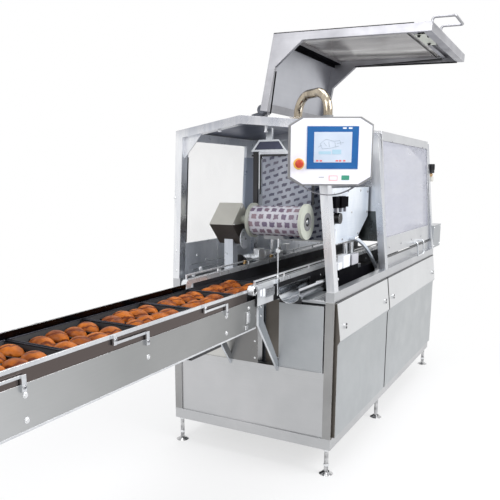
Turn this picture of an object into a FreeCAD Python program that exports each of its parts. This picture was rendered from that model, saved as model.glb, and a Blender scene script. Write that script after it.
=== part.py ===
import FreeCAD
import Part
import math
import os

# Tray sealer with guard hoods, infeed conveyor, film reel and swivelling control panel.
# Millimetres. +X is the way the trays travel, -Y is the operator side, +Z is up.
# Sizes are written in the cabinet's own corner frame (infeed end x = 0, operator
# side y = 0, floor z = 0). The finished model is set down with its origin on the
# floor, under the centre of the operator-side levelling foot at the infeed end.

Vector = FreeCAD.Vector
os.makedirs("parts", exist_ok=True)

# Cabinet
length = 2486.0
width = 1044.0
middle_x = 1005.0
foot_height = 154.0
foot_inset = 30.0
stem_radius = 12.5
pad_radius = 40.0
pad_neck_radius = 20.0
pad_height = 14.0
rail_height = 63.0
rail_width = 60.0
post_x = 60.0
post_y = 50.0
ledge_z = 1000.0
ledge_height = 55.0
ledge_width = 50.0
sheet = 3.0
deck_thickness = 12.0

# Infeed end
end_panel_top = 566.0
mid_rail_height = 34.0
end_panel_recess = 8.0
infeed_box_y = (58.0, 324.0)
infeed_box_z = (615.0, 975.0)
infeed_box_depth = 240.0
cover_plate_y = (458.0, 650.0)
cover_plate_height = 320.0
chute_radius = 62.0
chute_start_x = -122.0
chute_gap = 4.0
chute_wall = 3.0

# Operator covers
cover_edge = 25.0
cover_gap = 4.0
cover_middle_gap = 7.0
cover_bottom = 225.0
cover_break_z = 788.0
cover_panel_z = 762.0
cover_top_proud = 8.0
cover_break_proud = 32.0
cover_panel_proud = 18.0
lock_inset = 90.0
lock_z = 858.0
lock_radius = 14.0
lock_proud = 9.0

# Guard frame
portal_face = 45.0
portal_depth = 60.0
near_lean = 92.0
near_eave_z = 1945.0
apex_y = 577.0
apex_z = 1996.0
far_lean = 41.0
far_eave_z = 1926.0
ridge_size = 40.0
roof_sheet = 3.0
glazing = 6.0
guard_border = 46.0
guard_frame_depth = 20.0
guard_end_border = 130.0
far_guard_sill = 1215.0
far_guard_gap = 2.0
portal_gusset = 118.0
portal_gusset_thickness = 4.0
partition_sheet = 3.0
partition_sill = 1240.0
skirt_y = (30.0, 33.0)
skirt_gap = 8.0

# Hoods
hinge_y = 500.0
hinge_z = 2006.0
hinge_radius = 11.0
hinge_pin_radius = 5.0
pin_clearance = 0.05
hinge_inset = 60.0
ear_thickness = 20.0
ear_reach = 45.0
ear_gap = 8.0
knuckle_length = 40.0
knuckle_gap = 1.0
leaf_length = 60.0
leaf_height = 12.0
leaf_gap = 2.0
hood_corner = (88.0, 1962.0)
hood_tip = (28.0, 1140.0)
hood_set_back = 17.0
hood_beam = 42.0
hood_plate = 24.0
hood_head = 60.0
hood_sill = 120.0
hood_sill_sheet = 4.0
sill_bar = 22.0
pane_depth = 6.0
hood_gusset = 130.0
hood_side_gap = 6.0
hood_open_turn = 83.5
handle_width = 205.0
handle_reach = 85.0
handle_offset = 38.0
handle_radius = 6.5
handle_bend = 15.0
handle_centres = (258.0, 1930.0)
handle_sides = 10
lock_plate_x = (340.0, 560.0)
lock_plate_span = (63.0, 118.0)

# Tray lane
lane_offset = 37.0
lane_width = 370.0
conveyor_end_x = -335.0
conveyor_top = 1052.0
conveyor_depth = 154.0
conveyor_flange = 25.0
belt_top = 1046.0
belt_drop = 70.0
belt_thickness = 6.0
belt_edge_gap = 5.0
bay_count = 4
bay_pitch = 602.0
first_bolt_x = -632.0
conveyor_tail = 122.0
tie_width = 30.0
tie_height = 30.0
guide_bar_z = (1098.0, 1112.0)
guide_bar_width = 6.0
guide_end_gap = 90.0
guide_strip_thickness = 2.0
guide_strip_foot = 1042.0
clamp_width = 18.0
clamp_thickness = 10.0
clamp_foot_drop = 22.0
clamp_arm_length = 206.0
clamp_arm_z = (1074.0, 1084.0)
clamp_arm_thickness = 6.0
pulley_overhang = 6.0
stand_inset = 120.0
stand_tube = 50.0
stand_beam_z = 320.0
tray_pitch = 388.0
tray_length = 380.0
tray_width = 346.0
tray_depth = 38.0
tray_wall = 2.0
tray_taper = 14.0
tray_count = 6
tray_reach = 289.0

# Transport through the machine
transport_bed_nose_x = -318.0
transport_bed_z = 1012.0
transport_bed_height = 34.0
transport_wall = 12.0
transport_rail_width = 26.0
transport_rail_z = (1106.0, 1131.0)
rail_nose_x = -419.0
rail_nose_radius = 25.0
rail_tray_gap = 8.0
chain_slot = (10.0, 6.0)
top_strip = (8.0, 8.0)
top_strip_z = 1155.0
top_strip_start_x = -388.0
top_strip_post = 8.0
top_strip_posts = 9
strut_width = 60.0
strut_thickness = 12.0
strut_top_x = -222.0
strut_bend_z = 905.0
strut_bend_drop = 12.0
strut_foot_z = 632.0
strut_gap = 1.0
sensor_x = -140.0
sensor_rod_radius = 3.5
sensor_clamp = (22.0, 16.0)
sensor_rod_z = (1040.0, 1345.0)
sensor_head_z = 1282.0
sensor_head = (22.0, 16.0, 20.0)

# Film reel
reel_x = 250.0
reel_z = 1408.0
film_offset = 37.0
film_width = 322.0
film_radius = 88.0
disc_radius = 103.0
disc_thickness = 18.0
hub_radius = 40.0
hub_depth = 14.0
shaft_radius = 31.0
shaft_tip_radius = 24.0
shaft_gap = 0.3
drive_offset = 70.0
drive_length = 160.0
drive_drop = 24.0
drive_half_diagonal = 125.0
drive_column = 60.0
reel_guard_radius = 62.0
reel_guard_thickness = 4.0
reel_guard_z = 1294.0
reel_guard_x = 240.0
reel_guard_gap = 26.0
reel_guard_stud = 9.0
web_thickness = 1.0
web_edge_gap = 1.0
web_reel_gap = 5.0
top_roller_z = 1782.0
roller_radius = 14.0
roller_clearance = 0.3
roller_overhang = 20.0
web_end = (660.0, 1262.0)
ear_plate = (40.0, 3.0)
ear_drop = 24.0
guide_bar_rise = (16.0, 32.0)
guide_plate_y = (444.0, 687.0)
guide_plate_top_y = (500.0, 632.0)
guide_plate_z = (1790.0, 1884.0)
guide_plate_frame = 12.0
guide_strip = (12.0, 222.0)
hanger_width = 40.0

# Sealing station
station_x = (318.0, 1098.0)
station_base_depth = 80.0
station_rail_gap = 88.0
station_base_top = 1090.0
station_base_round = 60.0
column_radius = 16.0
column_inset = 60.0
column_rail_gap = 30.0
head_z = (1250.0, 1560.0)
head_x = (690.0, 930.0)
plate_set_back = 28.0
plate_thickness = 40.0
plate_outline = [(290.0, 1275.0), (740.0, 1275.0), (799.0, 1305.0), (976.0, 1412.0),
                 (976.0, 1600.0), (290.0, 1600.0)]
hoop_line = [(600.0, 1307.0), (808.0, 1238.0), (1100.0, 1058.0)]
hoop_depth = 16.0
hoop_width = 18.0
hoop_stud = (612.0, 1292.0, 9.0)
knob_place = (326.0, 1430.0)
knob_radius = 32.0
knob_reach = 42.0

# Outfeed end
outfeed_box_length = 285.0
outfeed_box_width = 260.0
outfeed_box_gap = 14.0
outfeed_box_z = (1055.0, 1250.0)
regulator_y = 67.0
regulator_z = 1702.0
regulator_reach = 40.0
regulator_radius = 27.0
regulator_height = 77.0
regulator_neck_radius = 12.0
regulator_neck_height = 30.0
regulator_bowl_radius = 22.0
regulator_bowl_height = 42.0
regulator_bracket = 18.0

# Control panel
arm_radius = 22.5
arm_sides = 20
arm_bend = 100.0
arm_flange = (28.0, 35.0)
arm_flange_height = 8.0
arm_rise = 128.0
arm_foot = (30.0, 245.0)
arm_head = (-121.0, 20.0)
panel_turn = 29.2
panel_offset = 14.0
panel_width = 408.0
panel_height = 327.0
panel_depth = 70.0
panel_corner = (60.0, 36.0)
panel_drop = 325.0
panel_front_gap = 39.0
plate_inset = 7.0
plate_proud = 4.0
swivel_collar = 10.0
swivel_gap = 0.3
screen_width = 250.0
screen_height = 202.0
screen_rise = 80.0
screen_shift = 7.0
screen_proud = 3.0
stop_radius = 20.0
stop_place = (152.0, 104.0)
stop_proud = 34.0
stop_cap = 12.0
stop_ring = (32.0, 4.0)
bow_half = 138.0
bow_depth = 49.0
bow_width = 32.0
bow_thickness = 5.0


# Shared helpers
def block(x, y, z):
    size = (x[1] - x[0], y[1] - y[0], z[1] - z[0])
    return Part.makeBox(size[0], size[1], size[2], Vector(x[0], y[0], z[0]))


def rod(start, end, radius):
    start = Vector(*start)
    along = Vector(*end) - start
    return Part.makeCylinder(radius, along.Length, start, along)


def prism_x(points, x):
    wire = Part.makePolygon([Vector(x[0], y, z) for y, z in points + points[:1]])
    return Part.Face(wire).extrude(Vector(x[1] - x[0], 0, 0))


def prism_y(points, y):
    wire = Part.makePolygon([Vector(x, y[0], z) for x, z in points + points[:1]])
    return Part.Face(wire).extrude(Vector(0, y[1] - y[0], 0))


def offset_line(points, distance):
    """Mitred offset of an open line of points, to the right of its direction."""
    normals = []
    for (a0, b0), (a1, b1) in zip(points, points[1:]):
        run = math.hypot(a1 - a0, b1 - b0)
        normals.append(((b1 - b0) / run, -(a1 - a0) / run))
    moved = []
    for i, (a, b) in enumerate(points):
        before = normals[max(i - 1, 0)]
        after = normals[min(i, len(normals) - 1)]
        share = 1 + before[0] * after[0] + before[1] * after[1]
        moved.append((a + distance * (before[0] + after[0]) / share,
                      b + distance * (before[1] + after[1]) / share))
    return moved


def along(a, b, distance):
    """Point on the way from a to b, at a distance from a."""
    share = distance / math.dist(a, b)
    return (a[0] + (b[0] - a[0]) * share, a[1] + (b[1] - a[1]) * share)


def fuse(*shapes):
    return shapes[0].multiFuse(list(shapes[1:])).removeSplitter()


def bent_bar(points, radius, bend, sides):
    """Many-sided round bar along straight runs joined by tangent arcs of one radius."""
    corners = [Vector(*p) for p in points]
    edges = []
    start = corners[0]
    for before, corner, after in zip(corners, corners[1:], corners[2:]):
        back = (before - corner).normalize()
        ahead = (after - corner).normalize()
        half = back.getAngle(ahead) / 2
        reach = bend / math.tan(half)
        first = corner + back * reach
        last = corner + ahead * reach
        middle = corner + (back + ahead).normalize() * (bend / math.sin(half) - bend)
        edges.append(Part.LineSegment(start, first).toShape())
        edges.append(Part.Arc(first, middle, last).toShape())
        start = last
    edges.append(Part.LineSegment(start, corners[-1]).toShape())
    forward = (corners[1] - corners[0]).normalize()
    side = forward.cross(corners[2] - corners[1]).normalize()
    up = side.cross(forward)
    rim = []
    for step in range(sides + 1):
        turn = 2 * math.pi * (step + 0.5) / sides
        rim.append(corners[0] + side * radius * math.cos(turn) + up * radius * math.sin(turn))
    return Part.Wire(edges).makePipeShell([Part.makePolygon(rim)], True, False)


def save(name, *shapes):
    whole = shapes[0] if len(shapes) == 1 else Part.makeCompound(list(shapes))
    whole = whole.copy()
    whole.translate(Vector(-foot_inset, -foot_inset, 0))
    whole.exportStep("parts/" + name + ".step")


# Places shared by several pieces
rail_top = foot_height + rail_height
mid_rail_top = end_panel_top + mid_rail_height
ledge_top = ledge_z + ledge_height
near_profile = [(0.0, ledge_top), (near_lean, near_eave_z), (apex_y, apex_z)]
guard_line = near_profile + [(width - far_lean, far_eave_z), (width, ledge_top)]
inner_line = offset_line(guard_line, portal_face)
portals_x = {
    "infeed_portal": (0.0, portal_depth),
    "middle_portal": (middle_x - portal_depth / 2, middle_x + portal_depth / 2),
    "outfeed_portal": (length - portal_depth, length),
}
bays_x = [
    (portals_x["infeed_portal"][1], portals_x["middle_portal"][0]),
    (portals_x["middle_portal"][1], portals_x["outfeed_portal"][0]),
]
lane_y = width / 2 - lane_offset
lane = (lane_y - lane_width / 2, lane_y + lane_width / 2)
tray_y = (lane_y - tray_width / 2, lane_y + tray_width / 2)
near_rail_y = (tray_y[0] - rail_tray_gap - transport_rail_width, tray_y[0] - rail_tray_gap)
far_rail_y = (tray_y[1] + rail_tray_gap, tray_y[1] + rail_tray_gap + transport_rail_width)
near_strut_y = (infeed_box_y[1] + strut_gap, infeed_box_y[1] + strut_gap + strut_thickness)
station_base_y = (near_rail_y[0] - station_rail_gap - station_base_depth,
                  near_rail_y[0] - station_rail_gap)
plate_y = (station_base_y[0] + plate_set_back,
           station_base_y[0] + plate_set_back + plate_thickness)
far_column_y = far_rail_y[1] + column_rail_gap + column_radius
head_y = (plate_y[1], far_column_y + 2 * column_radius)
ear_line_y = hinge_y + hinge_radius + ear_gap
bolt_places = [first_bolt_x - step * bay_pitch for step in range(bay_count)]
conveyor_start_x = bolt_places[-1] - conveyor_tail
panel_bottom_z = near_eave_z - panel_drop


# Cabinet pieces
def foot(x, y):
    pad = Part.makeCone(pad_radius, pad_neck_radius, pad_height, Vector(x, y, 0))
    return fuse(pad, rod((x, y, pad_height), (x, y, foot_height), stem_radius))


def levelling_feet():
    return [foot(x, y) for x in (foot_inset, middle_x, length - foot_inset)
            for y in (foot_inset, width - foot_inset)]


def base_frame():
    z = (foot_height, rail_top)
    outer = block((0, length), (0, width), z)
    half = rail_width / 2
    for x in ((rail_width, middle_x - half), (middle_x + half, length - rail_width)):
        outer = outer.cut(block(x, (rail_width, width - rail_width), z))
    return outer


def cabinet_posts():
    starts = (0, middle_x - post_x / 2, length - post_x)
    sides = ((0, post_y), (width - post_y, width))
    return [block((x, x + post_x), y, (rail_top, ledge_z)) for x in starts for y in sides]


def infeed_end_panel():
    y = (post_y, width - post_y)
    skin = block((end_panel_recess, end_panel_recess + sheet), y, (rail_top, end_panel_top))
    rail = block((0, mid_rail_height), y, (end_panel_top, mid_rail_top))
    return fuse(skin, rail)


def infeed_cover_plates():
    z = (mid_rail_top, mid_rail_top + cover_plate_height)
    front = block((0, sheet), cover_plate_y, z)
    side = block((end_panel_recess, end_panel_recess + sheet),
                 (cover_plate_y[1], width - post_y), z)
    link = block((0, end_panel_recess + sheet), (cover_plate_y[1], cover_plate_y[1] + sheet), z)
    return fuse(front, link, side)


def infeed_box():
    body = block((0, infeed_box_depth), infeed_box_y, infeed_box_z)
    stool = block((sheet, mid_rail_height), infeed_box_y, (mid_rail_top, infeed_box_z[0]))
    return fuse(body, stool)


def scrap_chute():
    y = near_rail_y[0] - chute_gap - chute_radius
    z = ledge_z + chute_radius
    start, end = (chute_start_x, y, z), (station_x[0] - chute_gap, y, z)
    tube = rod(start, end, chute_radius).cut(rod(start, end, chute_radius - chute_wall))
    lid = block((start[0] - 1, end[0] + 1), (y - chute_radius - 1, y + chute_radius + 1),
                (z + chute_radius / 3, z + chute_radius + 1))
    return tube.cut(lid)


def outfeed_end_panel():
    y = (post_y, width - post_y)
    x = length - end_panel_recess
    return block((x - sheet, x), y, (rail_top, ledge_z))


def far_side_panels():
    y = (width - end_panel_recess - sheet, width - end_panel_recess)
    half = post_x / 2
    return [block((post_x, middle_x - half), y, (rail_top, ledge_z)),
            block((middle_x + half, length - post_x), y, (rail_top, ledge_z))]


def operator_cover(x):
    top = ledge_z - cover_gap
    line = [(0.0, top), (-cover_top_proud, top), (-cover_break_proud, cover_break_z),
            (-cover_panel_proud, cover_panel_z), (-cover_panel_proud, cover_bottom),
            (0.0, cover_bottom)]
    body = prism_x(line, x)
    slope = (top - lock_z) / (top - cover_break_z)
    face = cover_top_proud + slope * (cover_break_proud - cover_top_proud)
    for lock_x in (x[0] + lock_inset, x[1] - lock_inset):
        body = body.fuse(rod((lock_x, 0, lock_z), (lock_x, -face - lock_proud, lock_z),
                             lock_radius))
    return body


def cabinet_deck():
    y = (post_y, width - post_y)
    return block((end_panel_recess, length - end_panel_recess - sheet), y,
                 (ledge_z - deck_thickness, ledge_z))


def top_rails():
    """Ledges under the guards, with the upright skirt below the outfeed hood."""
    z = (ledge_z, ledge_top)
    skirt = block(bays_x[1], skirt_y, (ledge_top, hood_tip[1] - skirt_gap))
    return [fuse(block((0, length), (0, ledge_width), z), skirt),
            block((0, length), (width - ledge_width, width), z)]


# Guard frame pieces
def portal(x):
    hoop = prism_x(guard_line + inner_line[::-1], x)
    corner = inner_line[3]
    gusset = [corner, along(corner, inner_line[2], portal_gusset),
              along(corner, inner_line[4], portal_gusset)]
    middle = (x[0] + x[1]) / 2
    plate = prism_x(gusset, (middle, middle + portal_gusset_thickness))
    return fuse(hoop, plate).cut(block(x, (-1.0, width + 1.0), (0.0, ledge_top)))


def middle_partition():
    """Sheet that closes the middle hoop above the trays."""
    sheet_x = (middle_x, middle_x + partition_sheet)
    below = block(sheet_x, (-1.0, width + 1.0), (0.0, partition_sill))
    return prism_x(inner_line, sheet_x).cut(below)


def roof_height(y):
    if y <= apex_y:
        share = (y - near_lean) / (apex_y - near_lean)
        return near_eave_z + share * (apex_z - near_eave_z)
    share = (y - apex_y) / (guard_line[3][0] - apex_y)
    return apex_z + share * (far_eave_z - apex_z)


def ridge_beams():
    far = apex_y + ridge_size
    low = apex_z - ridge_size
    line = [(ear_line_y, roof_height(ear_line_y) - roof_sheet), (apex_y, apex_z - roof_sheet),
            (far, roof_height(far) - roof_sheet), (far, low), (ear_line_y, low)]
    return [prism_x(line, x) for x in bays_x]


def far_roof_panels():
    line = [(ear_line_y, roof_height(ear_line_y)), (apex_y, apex_z), guard_line[3]]
    lower = [(y, z - roof_sheet) for y, z in line]
    return [prism_x(line + lower[::-1], x) for x in bays_x]


def far_side_point(z, depth):
    """Point of the far guard's plane at height z, moved in from its outer face."""
    share = (z - ledge_top) / (far_eave_z - ledge_top)
    return (width - share * far_lean - depth, z)


def far_side_band(z, depth):
    """Cross section of the far guard between two heights and two depths."""
    return [far_side_point(z[0], depth[0]), far_side_point(z[1], depth[0]),
            far_side_point(z[1], depth[1]), far_side_point(z[0], depth[1])]


far_guard_top = far_eave_z - roof_sheet - far_guard_gap
far_window_z = (far_guard_sill + guard_border, far_guard_top - guard_border)


def far_window_x(x):
    return (x[0] + guard_border, x[1] - guard_end_border)


def far_guard_frame(x):
    outer = far_side_band((ledge_top, far_guard_top), (0.0, guard_frame_depth))
    hole = far_side_band(far_window_z, (-1.0, guard_frame_depth + 1.0))
    return prism_x(outer, x).cut(prism_x(hole, far_window_x(x)))


def far_guard_window(x):
    inset = (guard_frame_depth - glazing) / 2
    pane = far_side_band(far_window_z, (inset, inset + glazing))
    return prism_x(pane, far_window_x(x))


def hinge_places(bay):
    return (bay[0] + hinge_inset, bay[1] - hinge_inset)


def hood_hinge_blocks():
    """Two ears a bay on the roof, each with the pin that a hood's knuckle turns on."""
    back = ear_line_y + ear_reach
    line = [(ear_line_y, roof_height(ear_line_y)), (back, roof_height(back)), (back, hinge_z),
            (ear_line_y, hinge_z + hinge_radius), (hinge_y, hinge_z + hinge_radius),
            (hinge_y - hinge_radius, hinge_z), (hinge_y, hinge_z - hinge_radius)]
    blocks = []
    for bay in bays_x:
        for x in hinge_places(bay):
            face = x + ear_thickness / 2
            pin = rod((face, hinge_y, hinge_z), (face + knuckle_length, hinge_y, hinge_z),
                      hinge_pin_radius)
            blocks.append(fuse(prism_x(line, (face - ear_thickness, face)), pin))
    return blocks


# Hood pieces, modelled closed
hood_outer = [(hinge_y - hood_set_back, hinge_z - hinge_radius), hood_corner, hood_tip]
hood_inner = offset_line(hood_outer[::-1], hood_beam)[::-1]


def hood_slice(leg, span, depth):
    """Cross section of one leg of the hood, between two runs and two depths."""
    a, b = hood_outer[leg], hood_outer[leg + 1]
    line = [along(a, b, span[0]), along(a, b, span[1])]
    faces = [offset_line(line[::-1], d)[::-1] for d in depth]
    return faces[0] + faces[1][::-1]


roof_leg = math.dist(hood_outer[0], hood_outer[1])
window_leg = math.dist(hood_outer[1], hood_outer[2])
roof_span = (hood_beam, roof_leg - hood_beam)
window_span = (hood_head, window_leg - hood_sill)


def hood_knuckle(x):
    face = x + ear_thickness / 2 + knuckle_gap
    span = (face, face + knuckle_length - 2 * knuckle_gap)
    leaf = block(span, (hinge_y - leaf_length, hinge_y),
                 (hinge_z - hinge_radius - leaf_height, hinge_z - leaf_gap))
    barrel = rod((span[0], hinge_y, hinge_z), (span[1], hinge_y, hinge_z), hinge_radius)
    hole = rod((span[0] - 1, hinge_y, hinge_z), (span[1] + 1, hinge_y, hinge_z),
               hinge_pin_radius + pin_clearance)
    return fuse(leaf, barrel), hole


def hood_frame(bay):
    x = (bay[0] + hood_side_gap, bay[1] - hood_side_gap)
    corner = hood_inner[1]
    gusset = [corner, along(corner, hood_inner[0], hood_gusset),
              along(corner, hood_inner[2], hood_gusset)]
    pieces = []
    for side in ((x[0], x[0] + hood_plate), (x[1] - hood_plate, x[1])):
        pieces.append(prism_x(hood_outer + hood_inner[::-1], side))
        pieces.append(prism_x(gusset, side))
    beam = (0.0, hood_beam)
    sheet_depth = (0.0, hood_sill_sheet)
    pieces.append(prism_x(hood_slice(0, (0.0, hood_beam), beam), x))
    pieces.append(prism_x(hood_slice(0, (roof_span[1], roof_leg), sheet_depth), x))
    pieces.append(prism_x(hood_slice(1, (0.0, hood_head), sheet_depth), x))
    pieces.append(prism_x(hood_slice(1, (window_leg - hood_beam, window_leg), beam), x))
    pieces.append(prism_x(hood_slice(1, (window_span[1], window_leg), sheet_depth), x))
    bar_depth = (0.0, sill_bar)
    pieces.append(prism_x(hood_slice(1, (window_span[1], window_span[1] + sill_bar), bar_depth), x))
    pieces.append(prism_x(hood_slice(1, (hood_head - sill_bar, hood_head), bar_depth), x))
    pieces.append(prism_x(hood_slice(0, (roof_span[1], roof_span[1] + sill_bar), bar_depth), x))
    knuckles = [hood_knuckle(place) for place in hinge_places(bay)]
    frame = fuse(*pieces, *[shape for shape, hole in knuckles])
    for shape, hole in knuckles:
        frame = frame.cut(hole)
    return frame


def hood_pane(bay, leg):
    """Roof sheet (leg 0) or window (leg 1), set between the hood's bars."""
    x = (bay[0] + hood_side_gap + hood_plate, bay[1] - hood_side_gap - hood_plate)
    span = (roof_span, window_span)[leg]
    thickness = (roof_sheet, glazing)[leg]
    pane = prism_x(hood_slice(leg, span, (pane_depth, pane_depth + thickness)), x)
    return pane.cut(hood_frame(bay))


def hood_handle(centre):
    """Bent loop that stands off the hood's sill and reaches past its lower edge."""
    half = handle_width / 2
    a, b = hood_outer[1], hood_outer[2]
    seat = along(a, b, window_leg - hood_beam / 2)
    way = along((0.0, 0.0), (b[0] - a[0], b[1] - a[1]), 1.0)
    out = (way[1], -way[0])
    top = (seat[0] + out[0] * handle_offset, seat[1] + out[1] * handle_offset)
    reach = handle_reach + hood_beam / 2
    low = (top[0] + way[0] * reach, top[1] + way[1] * reach)
    leg = [seat, top, low]
    points = [(centre - half, y, z) for y, z in leg]
    points += [(centre + half, y, z) for y, z in leg[::-1]]
    return bent_bar(points, handle_radius, handle_bend, handle_sides)


def hood_lock_plate():
    """Bolted plate inside the infeed hood's sill."""
    span = (window_leg - lock_plate_span[1], window_leg - lock_plate_span[0])
    depth = (hood_sill_sheet, 2 * hood_sill_sheet)
    return prism_x(hood_slice(1, span, depth), lock_plate_x)


def opened(shape):
    turned = shape.copy()
    turned.rotate(Vector(0, hinge_y, hinge_z), Vector(1, 0, 0), -hood_open_turn)
    return turned


# Tray lane pieces
def conveyor_frame():
    x = (conveyor_start_x, conveyor_end_x)
    z = (conveyor_top - conveyor_depth, conveyor_top)
    pieces = []
    for web_y, lip_y in (((lane[0], lane[0] + sheet), (lane[0], lane[0] + conveyor_flange)),
                         ((lane[1] - sheet, lane[1]), (lane[1] - conveyor_flange, lane[1]))):
        pieces.append(block(x, web_y, z))
        pieces.append(block(x, lip_y, (z[0], z[0] + sheet)))
    for tie_x in bolt_places:
        pieces.append(block((tie_x - tie_width / 2, tie_x + tie_width / 2),
                            (lane[0] + sheet, lane[1] - sheet),
                            (z[0] + sheet, z[0] + sheet + tie_height)))
    return fuse(*pieces)


pulley_radius = belt_drop / 2
pulley_z = belt_top - pulley_radius
belt_x = (conveyor_start_x + pulley_radius, conveyor_end_x + pulley_overhang - pulley_radius)


def conveyor_belt():
    y = (lane[0] + sheet + belt_edge_gap, lane[1] - sheet - belt_edge_gap)

    def loop(r):
        caps = [rod((end, y[0], pulley_z), (end, y[1], pulley_z), r) for end in belt_x]
        return fuse(block(belt_x, y, (pulley_z - r, pulley_z + r)), *caps)
    return loop(pulley_radius).cut(loop(pulley_radius - belt_thickness))


def conveyor_pulleys():
    return [rod((x, lane[0] + sheet, pulley_z), (x, lane[1] - sheet, pulley_z),
                pulley_radius - belt_thickness) for x in belt_x]


def guide_rails():
    """Guide bars beside the trays on a side strip, held by arms bolted to the side plates."""
    x = (conveyor_start_x, conveyor_end_x - guide_end_gap)
    rails = []
    for face, out in ((lane[0], -1), (lane[1], 1)):
        def outside(depth):
            return sorted((face, face + out * depth))
        inner = face - out * sheet
        strip_y = sorted((inner, inner - out * guide_strip_thickness))
        pieces = [block(x, sorted((face, face - out * guide_bar_width)), guide_bar_z),
                  block(x, strip_y, (guide_strip_foot, guide_bar_z[0]))]
        for bolt_x in bolt_places[:-1]:
            head_x = bolt_x - clamp_arm_length
            pieces.append(block((head_x, head_x + clamp_width), outside(clamp_thickness),
                                (clamp_arm_z[0], guide_bar_z[1])))
            pieces.append(block((head_x, bolt_x), outside(clamp_arm_thickness), clamp_arm_z))
            pieces.append(block((bolt_x - clamp_width, bolt_x), outside(clamp_thickness),
                                (conveyor_top - clamp_foot_drop, clamp_arm_z[1])))
        rails.append(fuse(*pieces))
    return rails


def conveyor_stand():
    middle = conveyor_start_x + stand_inset
    x = (middle - stand_tube / 2, middle + stand_tube / 2)
    under = conveyor_top - conveyor_depth
    frame = fuse(block(x, lane, (stand_beam_z, stand_beam_z + stand_tube)),
                 block(x, lane, (under - stand_tube, under)),
                 block(x, (lane[0], lane[0] + stand_tube), (foot_height, under)),
                 block(x, (lane[1] - stand_tube, lane[1]), (foot_height, under)))
    feet = [foot(middle, y) for y in (lane[0] + stand_tube / 2, lane[1] - stand_tube / 2)]
    return fuse(frame, *feet)


def tray(start, end):
    def layer(z, shrink):
        corners = [(start + shrink, tray_y[0] + shrink), (end - shrink, tray_y[0] + shrink),
                   (end - shrink, tray_y[1] - shrink), (start + shrink, tray_y[1] - shrink)]
        return Part.makePolygon([Vector(x, y, z) for x, y in corners + corners[:1]])
    top = belt_top + tray_depth
    outer = Part.makeLoft([layer(belt_top, tray_taper), layer(top, 0.0)], True, True)
    hollow = Part.makeLoft([layer(belt_top + tray_wall, tray_taper + tray_wall),
                            layer(top + 0.1, tray_wall)], True, True)
    return outer.cut(hollow)


def trays():
    ends = [conveyor_end_x + tray_reach - step * tray_pitch for step in range(tray_count)]
    return [tray(end - tray_length, end) for end in ends]


rail_nose_at = (rail_nose_x + rail_nose_radius, transport_rail_z[1] - rail_nose_radius)


def transport_bed():
    """Slider bed with a round nose and the side walls that carry the chain rails."""
    x = (transport_bed_nose_x + transport_bed_height / 2, length - portal_depth)
    z = (transport_bed_z, transport_bed_z + transport_bed_height)
    y = (near_rail_y[1], far_rail_y[0])
    nose_z = (z[0] + z[1]) / 2
    nose = rod((x[0], y[0], nose_z), (x[0], y[1], nose_z), transport_bed_height / 2)
    seat = block((end_panel_recess, x[1]), y, (ledge_z, transport_bed_z))
    wall_x = (conveyor_end_x, x[1])
    wall_z = (z[0], transport_rail_z[0])
    walls = [block(wall_x, (y[0] - transport_wall, y[0]), wall_z),
             block(wall_x, (y[1], y[1] + transport_wall), wall_z)]
    rail_nose = rod((rail_nose_at[0], near_rail_y[0], rail_nose_at[1]),
                    (rail_nose_at[0], far_rail_y[1], rail_nose_at[1]), rail_nose_radius)
    return fuse(block(x, y, z), nose, seat, *[wall.cut(rail_nose) for wall in walls])


def transport_rails():
    """Chain rails with a round nose, each with a bright guide strip on short posts."""
    z = transport_rail_z
    nose = rail_nose_at
    strip_x = (top_strip_start_x, length - portal_depth)
    spacing = (strip_x[1] - strip_x[0] - top_strip_post) / (top_strip_posts - 1)
    rails = []
    for y in (near_rail_y, far_rail_y):
        middle = (y[0] + y[1]) / 2
        body = fuse(block((nose[0], length), y, z),
                    rod((nose[0], y[0], nose[1]), (nose[0], y[1], nose[1]), rail_nose_radius))
        slot = block((nose[0], length), (middle - chain_slot[0] / 2, middle + chain_slot[0] / 2),
                     (z[1] - chain_slot[1], z[1]))
        edge_y = (y[0], y[0] + top_strip[0]) if y is near_rail_y else (y[1] - top_strip[0], y[1])
        strip = block(strip_x, edge_y, (top_strip_z - top_strip[1], top_strip_z))
        posts = []
        for step in range(top_strip_posts):
            x = strip_x[0] + step * spacing
            posts.append(block((x, x + top_strip_post), edge_y, (z[1], top_strip_z)))
        rails.append(fuse(body.cut(slot), strip, *posts))
    return rails


def transport_struts():
    """Bent flat arms from the cabinet's end to the transport's nose."""
    half = strut_width / 2
    line = [(strut_top_x + half, transport_bed_z), (strut_top_x + half, strut_bend_z),
            (0.0, strut_foot_z), (0.0, strut_foot_z - strut_width),
            (strut_top_x - half, strut_bend_z - strut_bend_drop),
            (strut_top_x - half, transport_bed_z)]
    near = prism_y(line, near_strut_y)
    stool = block((0.0, mid_rail_height), near_strut_y, (mid_rail_top, strut_foot_z))
    far = prism_y(line, (lane[1] - transport_rail_width - strut_thickness,
                         lane[1] - transport_rail_width))
    return [fuse(near, stool), far]


def tray_sensor():
    """Thin post clamped to the near chain rail, with a small sensor on it."""
    y = near_rail_y[0] - sensor_clamp[1] / 2
    z = sensor_rod_z
    post = rod((sensor_x, y, z[0]), (sensor_x, y, z[1]), sensor_rod_radius)
    half = sensor_clamp[0] / 2
    clamp = block((sensor_x - half, sensor_x + half), (near_rail_y[0] - sensor_clamp[1],
                  near_rail_y[0]), transport_rail_z)
    head = block((sensor_x - sensor_head[0] / 2, sensor_x + sensor_head[0] / 2),
                 (y - sensor_head[1] / 2, y + sensor_head[1] / 2),
                 (sensor_head_z - sensor_head[2] / 2, sensor_head_z + sensor_head[2] / 2))
    return fuse(post, clamp, head)


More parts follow.
